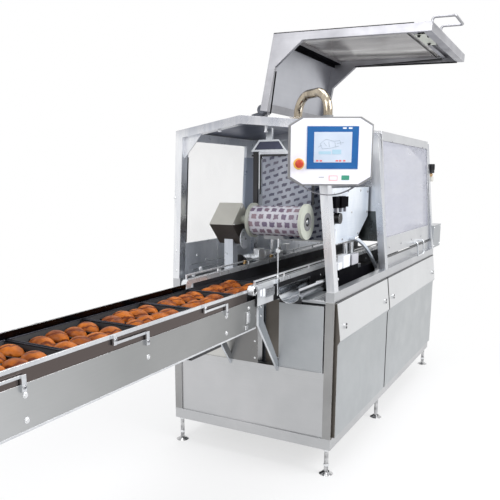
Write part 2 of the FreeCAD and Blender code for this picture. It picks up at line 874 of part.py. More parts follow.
# Film pieces
film_middle = lane_y - film_offset
film_y = (film_middle - film_width / 2, film_middle + film_width / 2)
web_y = (film_y[0] + web_edge_gap, film_y[1] - web_edge_gap)
disc_y = (film_y[0] - disc_thickness, film_y[1] + disc_thickness)
drive_y = (disc_y[1] + drive_offset, disc_y[1] + drive_offset + drive_length)
drive_z = reel_z - drive_drop
roller_x = reel_x + film_radius + web_reel_gap + roller_clearance + roller_radius
roller_y = (web_y[0] - roller_overhang, web_y[1] + roller_overhang)


def film_roll():
    roll = rod((reel_x, film_y[0], reel_z), (reel_x, film_y[1], reel_z), film_radius)
    return roll.cut(rod((reel_x, film_y[0], reel_z), (reel_x, film_y[1], reel_z), hub_radius))


def reel_core():
    """Core turned in one piece about its own axis: near disc with a recess, far disc, cone."""
    recess = hub_radius - disc_thickness / 2
    line = [(0.0, disc_y[0] + hub_depth), (recess, disc_y[0] + hub_depth), (recess, disc_y[0]),
            (disc_radius, disc_y[0]), (disc_radius, film_y[0]), (hub_radius, film_y[0]),
            (hub_radius, film_y[1]), (disc_radius, film_y[1]), (disc_radius, disc_y[1]),
            (shaft_radius, disc_y[1]), (shaft_tip_radius, drive_y[0] - shaft_gap),
            (0.0, drive_y[0] - shaft_gap)]
    wire = Part.makePolygon([Vector(reel_x + r, y, reel_z) for r, y in line + line[:1]])
    return Part.Face(wire).revolve(Vector(reel_x, 0, reel_z), Vector(0, 1, 0), 360)


def drive_outline():
    d = drive_half_diagonal
    return [(reel_x - d, drive_z), (reel_x, drive_z + d), (reel_x + d, drive_z),
            (reel_x, drive_z - d)]


def film_drive_box():
    return prism_y(drive_outline(), drive_y)


def film_drive_column():
    """Column under the drive housing, and the bare round guard on a stud from its face."""
    half = drive_column / 2
    middle = (drive_y[0] + drive_y[1]) / 2
    post = block((reel_x - half, reel_x + half), (middle - half, middle + half),
                 (ledge_z, drive_z)).cut(prism_y(drive_outline(), drive_y))
    guard_y = drive_y[0] - reel_guard_gap
    disc = rod((reel_guard_x, guard_y, reel_guard_z),
               (reel_guard_x, guard_y + reel_guard_thickness, reel_guard_z), reel_guard_radius)
    stud = rod((reel_guard_x, guard_y, reel_guard_z), (reel_guard_x, drive_y[0], reel_guard_z),
               reel_guard_stud)
    return [post, fuse(disc, stud)]


def web_roller():
    return rod((roller_x, roller_y[0], top_roller_z), (roller_x, roller_y[1], top_roller_z),
               roller_radius)


def film_web():
    clear = roller_radius + roller_clearance
    over = [math.radians(angle) for angle in range(180, -1, -15)]
    line = [(roller_x - clear, reel_z)]
    line += [(roller_x + clear * math.cos(a), top_roller_z + clear * math.sin(a)) for a in over]
    line += [web_end]
    back = offset_line(line[::-1], web_thickness)
    return prism_y(line + back, web_y)


def web_guide():
    """Roller ears on a cross bar, with an edge guide and an open trapezoid plate above."""
    low, high = top_roller_z + guide_bar_rise[0], top_roller_z + guide_bar_rise[1]
    x = (roller_x - ear_plate[0] / 2, roller_x + ear_plate[0] / 2)
    ends = ((roller_y[0] - ear_plate[1], roller_y[0]), (roller_y[1], roller_y[1] + ear_plate[1]))
    pieces = [block(x, (ends[0][0], ends[1][1]), (low, high))]
    pieces += [block(x, y, (top_roller_z - ear_drop, high)) for y in ends]
    outer = [(guide_plate_y[0], high), (guide_plate_y[1], high),
             (guide_plate_top_y[1], guide_plate_z[1]), (guide_plate_top_y[0], guide_plate_z[1])]
    inner = offset_line(outer[::-1] + outer[::-1][:1], guide_plate_frame)
    rim = prism_x(outer, (x[0], x[0] + ear_plate[1]))
    window = [inner[1], inner[2], inner[3], (inner[0][0], inner[0][1])]
    pieces.append(rim.cut(prism_x(window, (x[0] - 1.0, x[0] + ear_plate[1] + 1.0))))
    middle = (guide_plate_top_y[0] + guide_plate_top_y[1]) / 2
    pieces.append(block((x[0], x[0] + hanger_width / 2),
                        (middle - hanger_width / 2, middle + hanger_width / 2),
                        (guide_plate_z[1] - guide_plate_frame, apex_z - ridge_size)))
    strip_y = (ends[1][1] - guide_strip[0], ends[1][1])
    pieces.append(block((x[0] - ear_plate[1], x[0]), strip_y, (high - guide_strip[1], high)))
    return fuse(*pieces)


# Sealing station pieces
def station_base():
    x, y, z = station_x, station_base_y, (ledge_z, station_base_top)
    centre = (x[1] - station_base_round, z[1] - station_base_round)
    body = block(x, y, z)
    corner = block((centre[0], x[1] + 1), (y[0] - 1, y[1] + 1), (centre[1], z[1] + 1))
    round_end = rod((centre[0], y[0] - 1, centre[1]), (centre[0], y[1] + 1, centre[1]),
                    station_base_round)
    return body.cut(corner.cut(round_end))


def station_columns():
    columns = []
    near_y = head_y[0] + 2 * column_radius
    for x in (head_x[0] + column_inset, head_x[1] - column_inset):
        for y in (near_y, far_column_y):
            columns.append(rod((x, y, ledge_z), (x, y, head_z[0]), column_radius))
    return columns


def station_head():
    return block(head_x, head_y, head_z)


def station_plate():
    """Front plate of the station with its round knob and the bowed strap past the base."""
    plate = prism_y(plate_outline, plate_y)
    knob = rod((knob_place[0], plate_y[0], knob_place[1]),
               (knob_place[0], plate_y[0] - knob_reach, knob_place[1]), knob_radius)
    ring = Part.Arc(*[Vector(x, 0, z) for x, z in hoop_line]).toShape()
    centre, radius = ring.Curve.Center, ring.Curve.Radius
    y = (station_base_y[0] - hoop_depth, station_base_y[0])
    strap = rod((centre.x, y[0], centre.z), (centre.x, y[1], centre.z), radius)
    strap = strap.cut(rod((centre.x, y[0] - 1, centre.z), (centre.x, y[1] + 1, centre.z),
                          radius - hoop_width))
    wedge = [(centre.x, centre.z)]
    for x, z in (hoop_line[0], hoop_line[2]):
        wedge.append((centre.x + 2 * (x - centre.x), centre.z + 2 * (z - centre.z)))
    strap = strap.common(prism_y(wedge, y))
    stud_x, stud_z, stud_radius = hoop_stud
    stud = rod((stud_x, y[0], stud_z), (stud_x, plate_y[0], stud_z), stud_radius)
    return fuse(plate, knob, strap, stud)


# Outfeed end pieces
def outfeed_box():
    far = near_rail_y[0] - outfeed_box_gap
    return block((length, length + outfeed_box_length), (far - outfeed_box_width, far),
                 outfeed_box_z)


def air_regulator():
    """Regulator with its knob on top, on a short bracket from the outfeed portal."""
    x, y, z = length + regulator_reach, regulator_y, regulator_z
    knob = rod((x, y, z), (x, y, z + regulator_height), regulator_radius)
    neck_z = z - regulator_neck_height
    neck = rod((x, y, neck_z), (x, y, z), regulator_neck_radius)
    bowl = rod((x, y, neck_z - regulator_bowl_height), (x, y, neck_z), regulator_bowl_radius)
    inner = portal_leg_y(neck_z)
    bracket = block((length, x), (inner, inner + regulator_bracket),
                    (neck_z, neck_z + regulator_bracket))
    return fuse(knob, neck, bowl, bracket)


def portal_leg_y(z):
    """Outer face of the operator-side leg at height z."""
    return near_lean * (z - ledge_top) / (near_eave_z - ledge_top)


# Control panel pieces
panel_top = panel_bottom_z + panel_height
arm_top_z = panel_top + arm_rise
panel_x = (-panel_front_gap, panel_depth - panel_front_gap)
screen_y = -panel_offset - screen_shift
plate_face = panel_x[0] - plate_proud


def control_arm():
    foot_z = roof_height(arm_foot[1])
    points = [(arm_foot[0], arm_foot[1], foot_z - portal_face / 2),
              (arm_foot[0], arm_foot[1], arm_top_z), (arm_head[0], arm_head[1], arm_top_z),
              (arm_head[0], arm_head[1], panel_top + swivel_collar)]
    tube = bent_bar(points, arm_radius, arm_bend, arm_sides)
    keel = prism_x(near_profile + [(apex_y, ledge_top)], portals_x["infeed_portal"])
    flange = block((arm_foot[0] - arm_flange[0], arm_foot[0] + arm_flange[0]),
                   (arm_foot[1] - arm_flange[1], arm_foot[1] + arm_flange[1]),
                   (foot_z - arm_flange_height, foot_z + arm_flange_height))
    return fuse(tube, flange).cut(keel)


def placed_on_panel(shape):
    """Turn a piece built facing -X about the swivel axis to its place."""
    turned = shape.copy()
    turned.rotate(Vector(0, 0, 0), Vector(0, 0, 1), panel_turn)
    turned.translate(Vector(arm_head[0], arm_head[1], panel_bottom_z))
    return turned


def octagon(inset):
    right = -panel_offset - panel_width / 2 + inset
    left = -panel_offset + panel_width / 2 - inset
    cut_y, cut_z = panel_corner
    low, high = inset, panel_height - inset
    return [(right + cut_y, low), (left - cut_y, low), (left, low + cut_z), (left, high - cut_z),
            (left - cut_y, high), (right + cut_y, high), (right, high - cut_z),
            (right, low + cut_z)]


def panel_housing():
    shell = prism_x(octagon(0.0), panel_x)
    collar = rod((0, 0, panel_height), (0, 0, panel_height + swivel_collar - swivel_gap),
                 arm_radius + plate_proud)
    return placed_on_panel(fuse(shell, collar))


def panel_plate():
    return placed_on_panel(prism_x(octagon(plate_inset), (plate_face, panel_x[0])))


def panel_screen():
    y = (screen_y - screen_width / 2, screen_y + screen_width / 2)
    return placed_on_panel(block((plate_face - screen_proud, plate_face), y,
                                 (screen_rise, screen_rise + screen_height)))


def emergency_stop():
    y, z = stop_place[0] - panel_offset, stop_place[1]
    cap_back = plate_face - stop_proud + stop_cap
    ring_face = plate_face - stop_ring[1]
    ring = rod((plate_face, y, z), (ring_face, y, z), stop_ring[0])
    neck = rod((ring_face, y, z), (cap_back, y, z), stop_radius / 2)
    cap = rod((cap_back, y, z), (cap_back - stop_cap, y, z), stop_radius)
    return placed_on_panel(fuse(ring, neck, cap))


def panel_bow():
    """Bowed strap under the panel, a slice of a thin ring."""
    radius = (bow_half ** 2 + bow_depth ** 2) / (2 * bow_depth)
    middle = (panel_x[0] + panel_x[1]) / 2
    x = (middle - bow_width / 2, middle + bow_width / 2)
    centre = radius - bow_depth
    ring = rod((x[0], -panel_offset, centre), (x[1], -panel_offset, centre), radius)
    ring = ring.cut(rod((x[0], -panel_offset, centre), (x[1], -panel_offset, centre),
                        radius - bow_thickness))
    lower = block(x, (-2 * radius, 2 * radius), (-bow_depth, 0.0))
    return placed_on_panel(ring.common(lower))


# Writing the pieces
save("levelling_feet", *levelling_feet())
save("base_frame", base_frame())
save("cabinet_posts", *cabinet_posts())
save("infeed_end_panel", infeed_end_panel())
save("infeed_cover_plates", infeed_cover_plates())
save("infeed_box", infeed_box())
save("scrap_chute", scrap_chute())
save("outfeed_end_panel", outfeed_end_panel())
save("far_side_panels", *far_side_panels())
save("infeed_cover", operator_cover((cover_edge, middle_x - cover_middle_gap)))
save("outfeed_cover", operator_cover((middle_x + cover_middle_gap, length - cover_edge)))
save("cabinet_deck", cabinet_deck())
save("top_rails", *top_rails())
save("infeed_portal", portal(portals_x["infeed_portal"]))
save("middle_portal", fuse(portal(portals_x["middle_portal"]), middle_partition()))
save("outfeed_portal", portal(portals_x["outfeed_portal"]))
save("ridge_beams", *ridge_beams())
save("roof_panels", *far_roof_panels())
save("far_guard_frames", *[far_guard_frame(bay) for bay in bays_x])
save("far_guard_windows", *[far_guard_window(bay) for bay in bays_x])
save("hood_hinges", *hood_hinge_blocks())
save("infeed_hood_frame", opened(fuse(hood_frame(bays_x[0]), hood_lock_plate())))
save("infeed_hood_roof", opened(hood_pane(bays_x[0], 0)))
save("infeed_hood_window", opened(hood_pane(bays_x[0], 1)))
save("infeed_hood_handle", opened(hood_handle(handle_centres[0])))
save("outfeed_hood_frame", hood_frame(bays_x[1]))
save("outfeed_hood_roof", hood_pane(bays_x[1], 0))
save("outfeed_hood_window", hood_pane(bays_x[1], 1))
save("outfeed_hood_handle", hood_handle(handle_centres[1]))
save("conveyor_frame", conveyor_frame())
save("conveyor_belt", conveyor_belt())
save("conveyor_pulleys", *conveyor_pulleys())
save("guide_rails", *guide_rails())
save("conveyor_stand", conveyor_stand())
save("trays", *trays())
save("transport_bed", transport_bed())
save("transport_rails", *transport_rails())
save("transport_struts", *transport_struts())
save("tray_sensor", tray_sensor())
save("film_roll", film_roll())
save("reel_core", reel_core())
save("film_drive_box", film_drive_box())
save("film_drive_column", *film_drive_column())
save("web_roller", web_roller())
save("film_web", film_web())
save("web_guide", web_guide())
save("station_base", station_base())
save("station_columns", *station_columns())
save("station_head", station_head())
save("station_plate", station_plate())
save("outfeed_box", outfeed_box())
save("air_regulator", air_regulator())
save("control_arm", control_arm())
save("panel_housing", panel_housing())
save("panel_plate", panel_plate())
save("panel_screen", panel_screen())
save("emergency_stop", emergency_stop())
save("panel_bow", panel_bow())
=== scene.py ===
import bpy
import bmesh
import math
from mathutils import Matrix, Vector


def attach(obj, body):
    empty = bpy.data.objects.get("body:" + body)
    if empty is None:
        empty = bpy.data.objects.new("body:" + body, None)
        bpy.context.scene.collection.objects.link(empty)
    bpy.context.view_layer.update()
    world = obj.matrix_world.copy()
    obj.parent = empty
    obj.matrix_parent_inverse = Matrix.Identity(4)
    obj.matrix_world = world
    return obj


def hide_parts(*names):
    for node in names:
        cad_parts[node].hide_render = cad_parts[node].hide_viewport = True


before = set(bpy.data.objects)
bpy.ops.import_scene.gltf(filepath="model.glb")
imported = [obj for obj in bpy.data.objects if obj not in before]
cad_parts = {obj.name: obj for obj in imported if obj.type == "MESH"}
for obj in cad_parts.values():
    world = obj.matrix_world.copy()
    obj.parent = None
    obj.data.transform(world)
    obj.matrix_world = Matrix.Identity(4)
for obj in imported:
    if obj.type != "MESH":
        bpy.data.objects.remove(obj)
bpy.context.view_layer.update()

# Visual model of the tray sealer. Sizes are in millimetres in the cabinet's corner frame,
# as in the part's source, and point() turns them into the scene's metres.
FOOT_INSET = 30.0
REEL_X, REEL_Z = 250.0, 1408.0


def point(x, y, z):
    return Vector(((x - FOOT_INSET) / 1000, (y - FOOT_INSET) / 1000, z / 1000))


# Camera at the photograph's viewpoint
camera_data = bpy.data.cameras.new("camera")
camera = bpy.data.objects.new("camera", camera_data)
bpy.context.scene.collection.objects.link(camera)
camera.location = point(-3050, -1102, 1652)
camera.rotation_euler = (math.radians(78.82), 0, math.radians(-60.82))
camera_data.sensor_fit = "HORIZONTAL"
camera_data.sensor_width = 36
camera_data.lens = 44.02
camera_data.shift_x = 0.0278
camera_data.shift_y = 0.0996
camera_data.clip_end = 100
camera_data.dof.use_dof = False
bpy.context.scene.camera = camera
bpy.context.scene.view_settings.view_transform = "Standard"


# Node helpers. Inputs are given by name or number, and each is a value or another node's socket.
def feed(tree, node, inputs):
    for key, value in inputs.items():
        if isinstance(value, bpy.types.NodeSocket):
            tree.links.new(value, node.inputs[key])
        else:
            node.inputs[key].default_value = value


def put(tree, kind, inputs=None, **settings):
    """New node with its settings and inputs."""
    node = tree.nodes.new(kind)
    for key, value in settings.items():
        setattr(node, key, value)
    feed(tree, node, inputs or {})
    return node


def number(tree, operation, *values):
    """Result of one sum on numbers."""
    return put(tree, "ShaderNodeMath", dict(enumerate(values)), operation=operation).outputs[0]


def vector(tree, operation, *values, result="Vector"):
    """Result of one sum on vectors; it is a number where result is Value."""
    node = put(tree, "ShaderNodeVectorMath", dict(enumerate(values)), operation=operation)
    return node.outputs[result]


def remap(tree, value, low, high, start=0.0, end=1.0, interpolation="LINEAR"):
    """Goes from start to end while the value goes from low to high, and stops there."""
    spans = {"From Min": low, "From Max": high, "To Min": start, "To Max": end}
    node = put(tree, "ShaderNodeMapRange", {"Value": value, **spans},
               interpolation_type=interpolation)
    return node.outputs["Result"]


def blend(tree, factor, low, high, kind="MIX"):
    """Colour mix; low and high are colours or sockets."""
    low, high = [(*side, 1.0) if isinstance(side, tuple) else side for side in (low, high)]
    node = put(tree, "ShaderNodeMix", data_type="RGBA", blend_type=kind)
    feed(tree, node, {0: factor, 6: low, 7: high})
    return node.outputs[2]


SOCKET_KINDS = {float: "NodeSocketFloat", int: "NodeSocketInt", tuple: "NodeSocketVector"}


def add_inputs(tree, inputs):
    """Input sockets by name, each with the value it has when nothing feeds it."""
    for label, value in inputs.items():
        socket = tree.interface.new_socket(label, in_out="INPUT",
                                           socket_type=SOCKET_KINDS[type(value)])
        socket.default_value = value


def new_group(name, inputs, **outputs):
    """Empty shader node group; outputs are given by name and kind."""
    group = bpy.data.node_groups.new(name, "ShaderNodeTree")
    add_inputs(group, inputs)
    for label, kind in outputs.items():
        group.interface.new_socket(label, in_out="OUTPUT", socket_type="NodeSocket" + kind)
    return group, put(group, "NodeGroupInput").outputs


def close_group(group, **results):
    put(group, "NodeGroupOutput", results)
    return group


ORIGIN = (0.0, 0.0, 0.0)


# Shader groups shared by the materials
def brushed_grain():
    """Fine lines drawn out along the small scale axes."""
    group, given = new_group("brushed grain", {"Position": ORIGIN, "Fineness": (4, 4, 700)},
                             Grain="Float")
    stretched = vector(group, "MULTIPLY", given["Position"], given["Fineness"])
    noise = put(group, "ShaderNodeTexNoise", {"Vector": stretched, "Scale": 1.0, "Detail": 3.0})
    return close_group(group, Grain=noise.outputs["Fac"])


def smudges_and_reflections():
    """Soft patches, for wiped metal and handled plastic; in polished metal's colour they are also
    painted reflection.
    """
    group, given = new_group(
        "smudges_and_reflections",
        {"Position": ORIGIN, "Scale": 4.0, "Stretch": (1, 1, 1), "Low": 0.0, "High": 1.0},
        Value="Float")
    stretched = vector(group, "MULTIPLY", given["Position"], given["Stretch"])
    noise = put(group, "ShaderNodeTexNoise", {"Vector": stretched, "Scale": given["Scale"],
                                              "Detail": 4.0, "Roughness": 0.6})
    spread = remap(group, noise.outputs["Fac"], 0.3, 0.7, given["Low"], given["High"])
    return close_group(group, Value=spread)


def soft_edges():
    """Rounded normal at edges, and a mask that is 1 on an edge."""
    group, given = new_group("soft edges", {"Radius": 0.002}, Normal="Vector", Edge="Float")
    bevel = put(group, "ShaderNodeBevel", {"Radius": given["Radius"]}, samples=4)
    normal = bevel.outputs["Normal"]
    face = put(group, "ShaderNodeNewGeometry").outputs["True Normal"]
    match = vector(group, "DOT_PRODUCT", normal, face, result="Value")
    return close_group(group, Normal=normal, Edge=remap(group, match, 0.99, 0.75))


def fade():
    """1 where a place is at Low along the axis, and 0 where it is at High."""
    group, given = new_group(
        "fade", {"Position": ORIGIN, "Axis": (0, 0, 1), "Low": 0.0, "High": 1.0}, Value="Float")
    reach = vector(group, "DOT_PRODUCT", given["Position"], given["Axis"], result="Value")
    ramp = remap(group, reach, given["Low"], given["High"], 1.0, 0.0, "SMOOTHSTEP")
    return close_group(group, Value=ramp)


def zone():
    """1 inside an upright box given by its middle and half sizes, and 0 outside."""
    group, given = new_group(
        "zone", {"Position": ORIGIN, "Middle": ORIGIN, "Half": (1, 1, 1)}, Value="Float")
    away = vector(group, "SUBTRACT", given["Position"], given["Middle"])
    room = vector(group, "SUBTRACT", given["Half"], vector(group, "ABSOLUTE", away))
    x, y, z = put(group, "ShaderNodeSeparateXYZ", {0: room}).outputs
    least = number(group, "MINIMUM", number(group, "MINIMUM", x, y), z)
    return close_group(group, Value=number(group, "GREATER_THAN", least, 0.0))


def motif():
    """Staggered rows of small blots on a sheet: u across, v up, both in metres."""
    group, given = new_group(
        "motif", {"Position": ORIGIN, "Width": 0.055, "Height": 0.036, "Gap": 0.012},
        Value="Float", Tint="Float")
    place = given["Position"]
    wobble = put(group, "ShaderNodeTexNoise", {"Vector": place, "Scale": 55.0, "Detail": 1.0})
    shift = put(group, "ShaderNodeVectorMath", {0: wobble.outputs["Color"], "Scale": 0.014},
                operation="SCALE")
    bricks = put(group, "ShaderNodeTexBrick",
                 {"Vector": vector(group, "ADD", place, shift.outputs[0]), "Scale": 1.0,
                  "Color1": (0, 0, 0, 1), "Color2": (1, 1, 1, 1), "Mortar Smooth": 0.3,
                  "Brick Width": given["Width"], "Row Height": given["Height"],
                  "Mortar Size": given["Gap"]}, offset=0.5, squash=1.0)
    blot = number(group, "SUBTRACT", 1.0, bricks.outputs["Fac"])
    return close_group(group, Value=blot, Tint=bricks.outputs["Color"])


GRAIN = brushed_grain()
SMUDGES_AND_REFLECTIONS = smudges_and_reflections()
EDGES = soft_edges()
FADE = fade()
ZONE = zone()
MOTIF = motif()
MATERIALS = {}


def use(tree, group, **inputs):
    """Outputs of a shared group."""
    return put(tree, "ShaderNodeGroup", inputs, node_tree=group).outputs


def start_material(name):
    """Keep a new material by its name; its places are in the scene's metres."""
    material = bpy.data.materials.new(name)
    material.use_nodes = True
    MATERIALS[name] = material
    tree = material.node_tree
    shader = next(n for n in tree.nodes if n.type == "BSDF_PRINCIPLED")
    return tree, shader, put(tree, "ShaderNodeTexCoord").outputs["Object"]


def relief(tree, strength, distance, height, **more):
    """Bumped normal."""
    node = put(tree, "ShaderNodeBump",
               {"Strength": strength, "Distance": distance, "Height": height, **more})
    return node.outputs["Normal"]


def toned(tree, place, body, fades, zones):
    """Body colour with fades of (axis, low, high, tint) and zones of (x, y and z spans, colour).

    Fades are in the scene's metres and multiply, zones are in millimetres and cover.
    """
    for axis, low, high, tint in fades:
        share = use(tree, FADE, Position=place, Axis=axis, Low=low, High=high)["Value"]
        body = blend(tree, share, body, tint, "MULTIPLY")
    for x, y, z, colour in zones:
        low, high = point(x[0], y[0], z[0]), point(x[1], y[1], z[1])
        inside = use(tree, ZONE, Position=place, Middle=(low + high) / 2, Half=(high - low) / 2)
        body = blend(tree, inside["Value"], body, colour)
    return body


GRAIN_SHARE = 0.3


def steel(name, dark, light, rough, grain=(3, 3, 500), bump=0.06, edge=(0.85, 0.86, 0.87),
          patch=(3.0, (1, 1, 1)), fades=(), zones=(), metal=1.0):
    """Metal: brushed lines, wiped patches that are also painted reflection, and edges painted
    lighter, for wear and as a painted highlight.
    """
    tree, shader, place = start_material(name)
    lines = use(tree, GRAIN, Position=place, Fineness=grain)["Grain"]
    # On polished metal these patches are painted reflection as well as wiping.
    patches = use(tree, SMUDGES_AND_REFLECTIONS, Position=place, Scale=patch[0], Stretch=patch[1])["Value"]
    rounded = use(tree, EDGES, Radius=0.002)
    fine = number(tree, "MULTIPLY", lines, GRAIN_SHARE)
    tone = number(tree, "MULTIPLY_ADD", patches, 1 - GRAIN_SHARE, fine)
    body = toned(tree, place, blend(tree, tone, dark, light), fades, zones)
    gloss = use(tree, SMUDGES_AND_REFLECTIONS, Position=place, Scale=7.0, Low=rough * 0.85, High=rough * 1.2)
    # The edge colour is painted highlight and wear along every edge.
    feed(tree, shader, {"Base Color": blend(tree, rounded["Edge"], body, edge),
                        "Roughness": gloss["Value"], "Metallic": metal,
                        "Normal": relief(tree, bump, 0.0005, lines, Normal=rounded["Normal"])})


def moulded(name, dark, light, rough, scale=5.0, speckle=0.05, shine=0.5, fades=(), zones=()):
    """Painted or moulded surface with a faint texture."""
    tree, shader, place = start_material(name)
    patches = use(tree, SMUDGES_AND_REFLECTIONS, Position=place, Scale=scale)["Value"]
    rounded = use(tree, EDGES, Radius=0.0015)["Normal"]
    fine = put(tree, "ShaderNodeTexNoise", {"Vector": place, "Scale": 900.0}).outputs["Fac"]
    gloss = use(tree, SMUDGES_AND_REFLECTIONS, Position=place, Scale=9.0, Low=rough * 0.9, High=rough * 1.15)
    body = toned(tree, place, blend(tree, patches, dark, light), fades, zones)
    feed(tree, shader, {"Base Color": body, "Roughness": gloss["Value"],
                        "Specular IOR Level": shine,
                        "Normal": relief(tree, speckle, 0.0004, fine, Normal=rounded)})


def clear_sheet(name, tint, alpha, rough, patch=(2.5, (1, 1, 1)), swing=0.15):
    """Tinted guard sheet; alpha is the share it hides, give or take its swing, whose patches are
    painted reflection.
    """
    tree, shader, place = start_material(name)
    painted_reflection_alpha = use(tree, SMUDGES_AND_REFLECTIONS, Position=place, Scale=patch[0], Stretch=patch[1],
               Low=alpha * (1 - swing), High=alpha * (1 + swing))["Value"]
    patches = use(tree, SMUDGES_AND_REFLECTIONS, Position=place, Scale=4.0)["Value"]
    deep = tuple(c * 0.94 for c in tint)
    feed(tree, shader, {"Alpha": painted_reflection_alpha, "Base Color": blend(tree, patches, deep, tint),
                        "Roughness": rough})


def printed(name, ground, ink, accent, around=None, width=0.055, height=0.036, gap=0.012):
    """Sheet with rows of plain blots, hung slanting or wrapped round an axis.

    Where the sheet is wrapped, around has the axis's x and z in millimetres and the sheet's
    radius in metres.
    """
    tree, shader, place = start_material(name)
    x, y, z = put(tree, "ShaderNodeSeparateXYZ", {0: place}).outputs
    if around:
        axis = point(around[0], 0, around[1])
        angle = number(tree, "ARCTAN2", number(tree, "SUBTRACT", z, axis.z),
                       number(tree, "SUBTRACT", x, axis.x))
        run = number(tree, "MULTIPLY", angle, around[2])
    else:
        run = number(tree, "MULTIPLY_ADD", y, 0.28, z)
    spot = put(tree, "ShaderNodeCombineXYZ", {"X": y, "Y": run}).outputs[0]
    blots = use(tree, MOTIF, Position=spot, Width=width, Height=height, Gap=gap)
    patches = use(tree, SMUDGES_AND_REFLECTIONS, Position=place, Scale=6.0, Stretch=(1, 1, 0.4))["Value"]
    sheet = blend(tree, patches, *ground)
    colour = blend(tree, blots["Tint"], ink, accent)
    gloss = use(tree, SMUDGES_AND_REFLECTIONS, Position=place, Scale=8.0, Low=0.14, High=0.26)["Value"]
    feed(tree, shader, {"Base Color": blend(tree, blots["Value"], sheet, colour),
                        "Roughness": gloss, "Normal": relief(tree, 0.12, 0.004, patches)})


def crust(name, dark, light):
    """Baked dough: golden with darker patches and slanting cuts."""
    tree, shader, place = start_material(name)
    patches = use(tree, SMUDGES_AND_REFLECTIONS, Position=place, Scale=14.0)["Value"]
    waves = put(tree, "ShaderNodeTexWave", {"Vector": place, "Scale": 9.0, "Distortion": 3.0,
                                            "Detail Scale": 3.0}, bands_direction="DIAGONAL")
    cuts = remap(tree, waves.outputs["Fac"], 0.0, 0.22, 1.0, 0.0)
    body = blend(tree, patches, dark, light)
    dents = put(tree, "ShaderNodeBump", {"Strength": 0.5, "Distance": 0.004, "Height": cuts},
                invert=True)
    feed(tree, shader, {"Base Color": blend(tree, cuts, body, dark), "Roughness": 0.42,
                        "Specular IOR Level": 0.18, "Normal": dents.outputs["Normal"]})


ALONG_X, ALONG_Y, ALONG_Z = (1, 0, 0), (0, 1, 0), (0, 0, 1)
ROOF_UP = (0, 0.1625, 0.9867)
# Upright streaks of light and dark that stand for reflections in polished uprights: painted
# reflection.
PAINTED_REFLECTION_STREAKS = (5.0, (2.2, 2.2, 0.35))

steel("cabinet steel", (0.44, 0.45, 0.46), (0.58, 0.58, 0.59), 0.34, patch=(1.6, (1, 1, 1)))
steel("box steel", (0.40, 0.42, 0.44), (0.47, 0.485, 0.50), 0.5)
# Plate steel is painted darker at y below 0.60 m, toward the operator's side: painted shade.
steel("plate steel", (0.53, 0.53, 0.51), (0.63, 0.62, 0.60), 0.30, patch=(4.0, (1, 1, 0.4)),
      fades=[(ALONG_Y, 0.60, 0.66, (0.34, 0.34, 0.35))])
# The covers' lower panels, below z 0.78 m, are painted darker as shade.
steel("cover steel", (0.65, 0.66, 0.67), (0.76, 0.77, 0.78), 0.36, patch=(1.2, (1, 1, 1)),
      fades=[(ALONG_Z, 0.780, 0.792, (0.64, 0.66, 0.67))])
steel("ledge steel", (0.46, 0.47, 0.49), (0.57, 0.58, 0.60), 0.32, patch=(2.0, (1, 1, 1)))
# Frame steel: the portals beyond x 0.9 m and the tops above z 1.97 m are painted darker as shade,
# and the dark patch on the middle portal is a painted shadow beside the station plate.
steel("frame steel", (0.55, 0.58, 0.65), (0.98, 0.98, 0.98), 0.28, grain=(70, 70, 2), bump=0.02,
      patch=PAINTED_REFLECTION_STREAKS,
      fades=[(ALONG_X, 0.90, 0.50, (0.78, 0.79, 0.80)), (ALONG_Z, 1.97, 1.86, (0.62, 0.62, 0.64))],
      zones=[((1003, 1010), (45, 1000), (1235, 1440), (0.10, 0.11, 0.11))])
steel("polished steel", (0.42, 0.45, 0.50), (0.86, 0.88, 0.90), 0.18, grain=(40, 40, 12), bump=0.02)
# Both guide zones are painted reflection: a dark brown-grey strip on the near guide and black on
# the far guide's inner face.
steel("guide steel", (0.50, 0.52, 0.56), (0.92, 0.93, 0.95), 0.2, grain=(60, 60, 60), bump=0.02,
      patch=(5.0, (0.5, 1, 1)),
      zones=[((-2700, -300), (301, 400), (1030, 1097), (0.12, 0.10, 0.095)),
             ((-2700, -300), (655, 669.5), (1030, 1113), (0.015, 0.015, 0.018))])
# Conveyor steel is painted darker toward the machine and lighter toward its far end: painted light
# and shade.
steel("conveyor steel", (0.51, 0.53, 0.54), (0.68, 0.69, 0.70), 0.32, grain=(3, 3, 420),
      patch=(1.5, (0.6, 1, 1)), fades=[(ALONG_X, -1.2, -2.6, (0.62, 0.61, 0.60))])
steel("post steel", (0.28, 0.28, 0.28), (0.42, 0.42, 0.42), 0.34)
# Foot chrome: patches from near black to near white are painted reflection.
steel("foot chrome", (0.03, 0.03, 0.035), (0.90, 0.90, 0.91), 0.12, grain=(60, 60, 60), bump=0.01,
      patch=(26.0, (1, 1, 1)))
steel("rail steel", (0.62, 0.64, 0.68), (0.95, 0.96, 0.97), 0.28, grain=(3, 300, 300), bump=0.02,
      metal=0.6)
steel("pale steel", (0.50, 0.51, 0.53), (0.72, 0.73, 0.75), 0.35, metal=0.3,
      patch=(12.0, (1, 1, 1)))
steel("roof steel", (0.42, 0.43, 0.47), (0.56, 0.57, 0.61), 0.34, grain=(4, 60, 60), bump=0.02,
      patch=(1.8, (1, 1, 1)))
# The roof panels' undersides are painted dark blue: painted reflection.
steel("far roof steel", (0.42, 0.43, 0.47), (0.56, 0.57, 0.61), 0.34, grain=(4, 60, 60), bump=0.02,
      patch=(1.8, (1, 1, 1)), fades=[(ROOF_UP, 2.0558, 2.0566, (0.16, 0.18, 0.27))])
# The darker blue-grey zone on the far guard frames is painted reflection.
steel("far wall steel", (0.40, 0.44, 0.51), (0.84, 0.86, 0.90), 0.3, grain=(60, 60, 60), bump=0.02,
      patch=(3.2, (1.4, 1, 0.5)), metal=0.3,
      zones=[((560, 1000), (970, 1016), (1250, 1800), (0.27, 0.31, 0.39))])
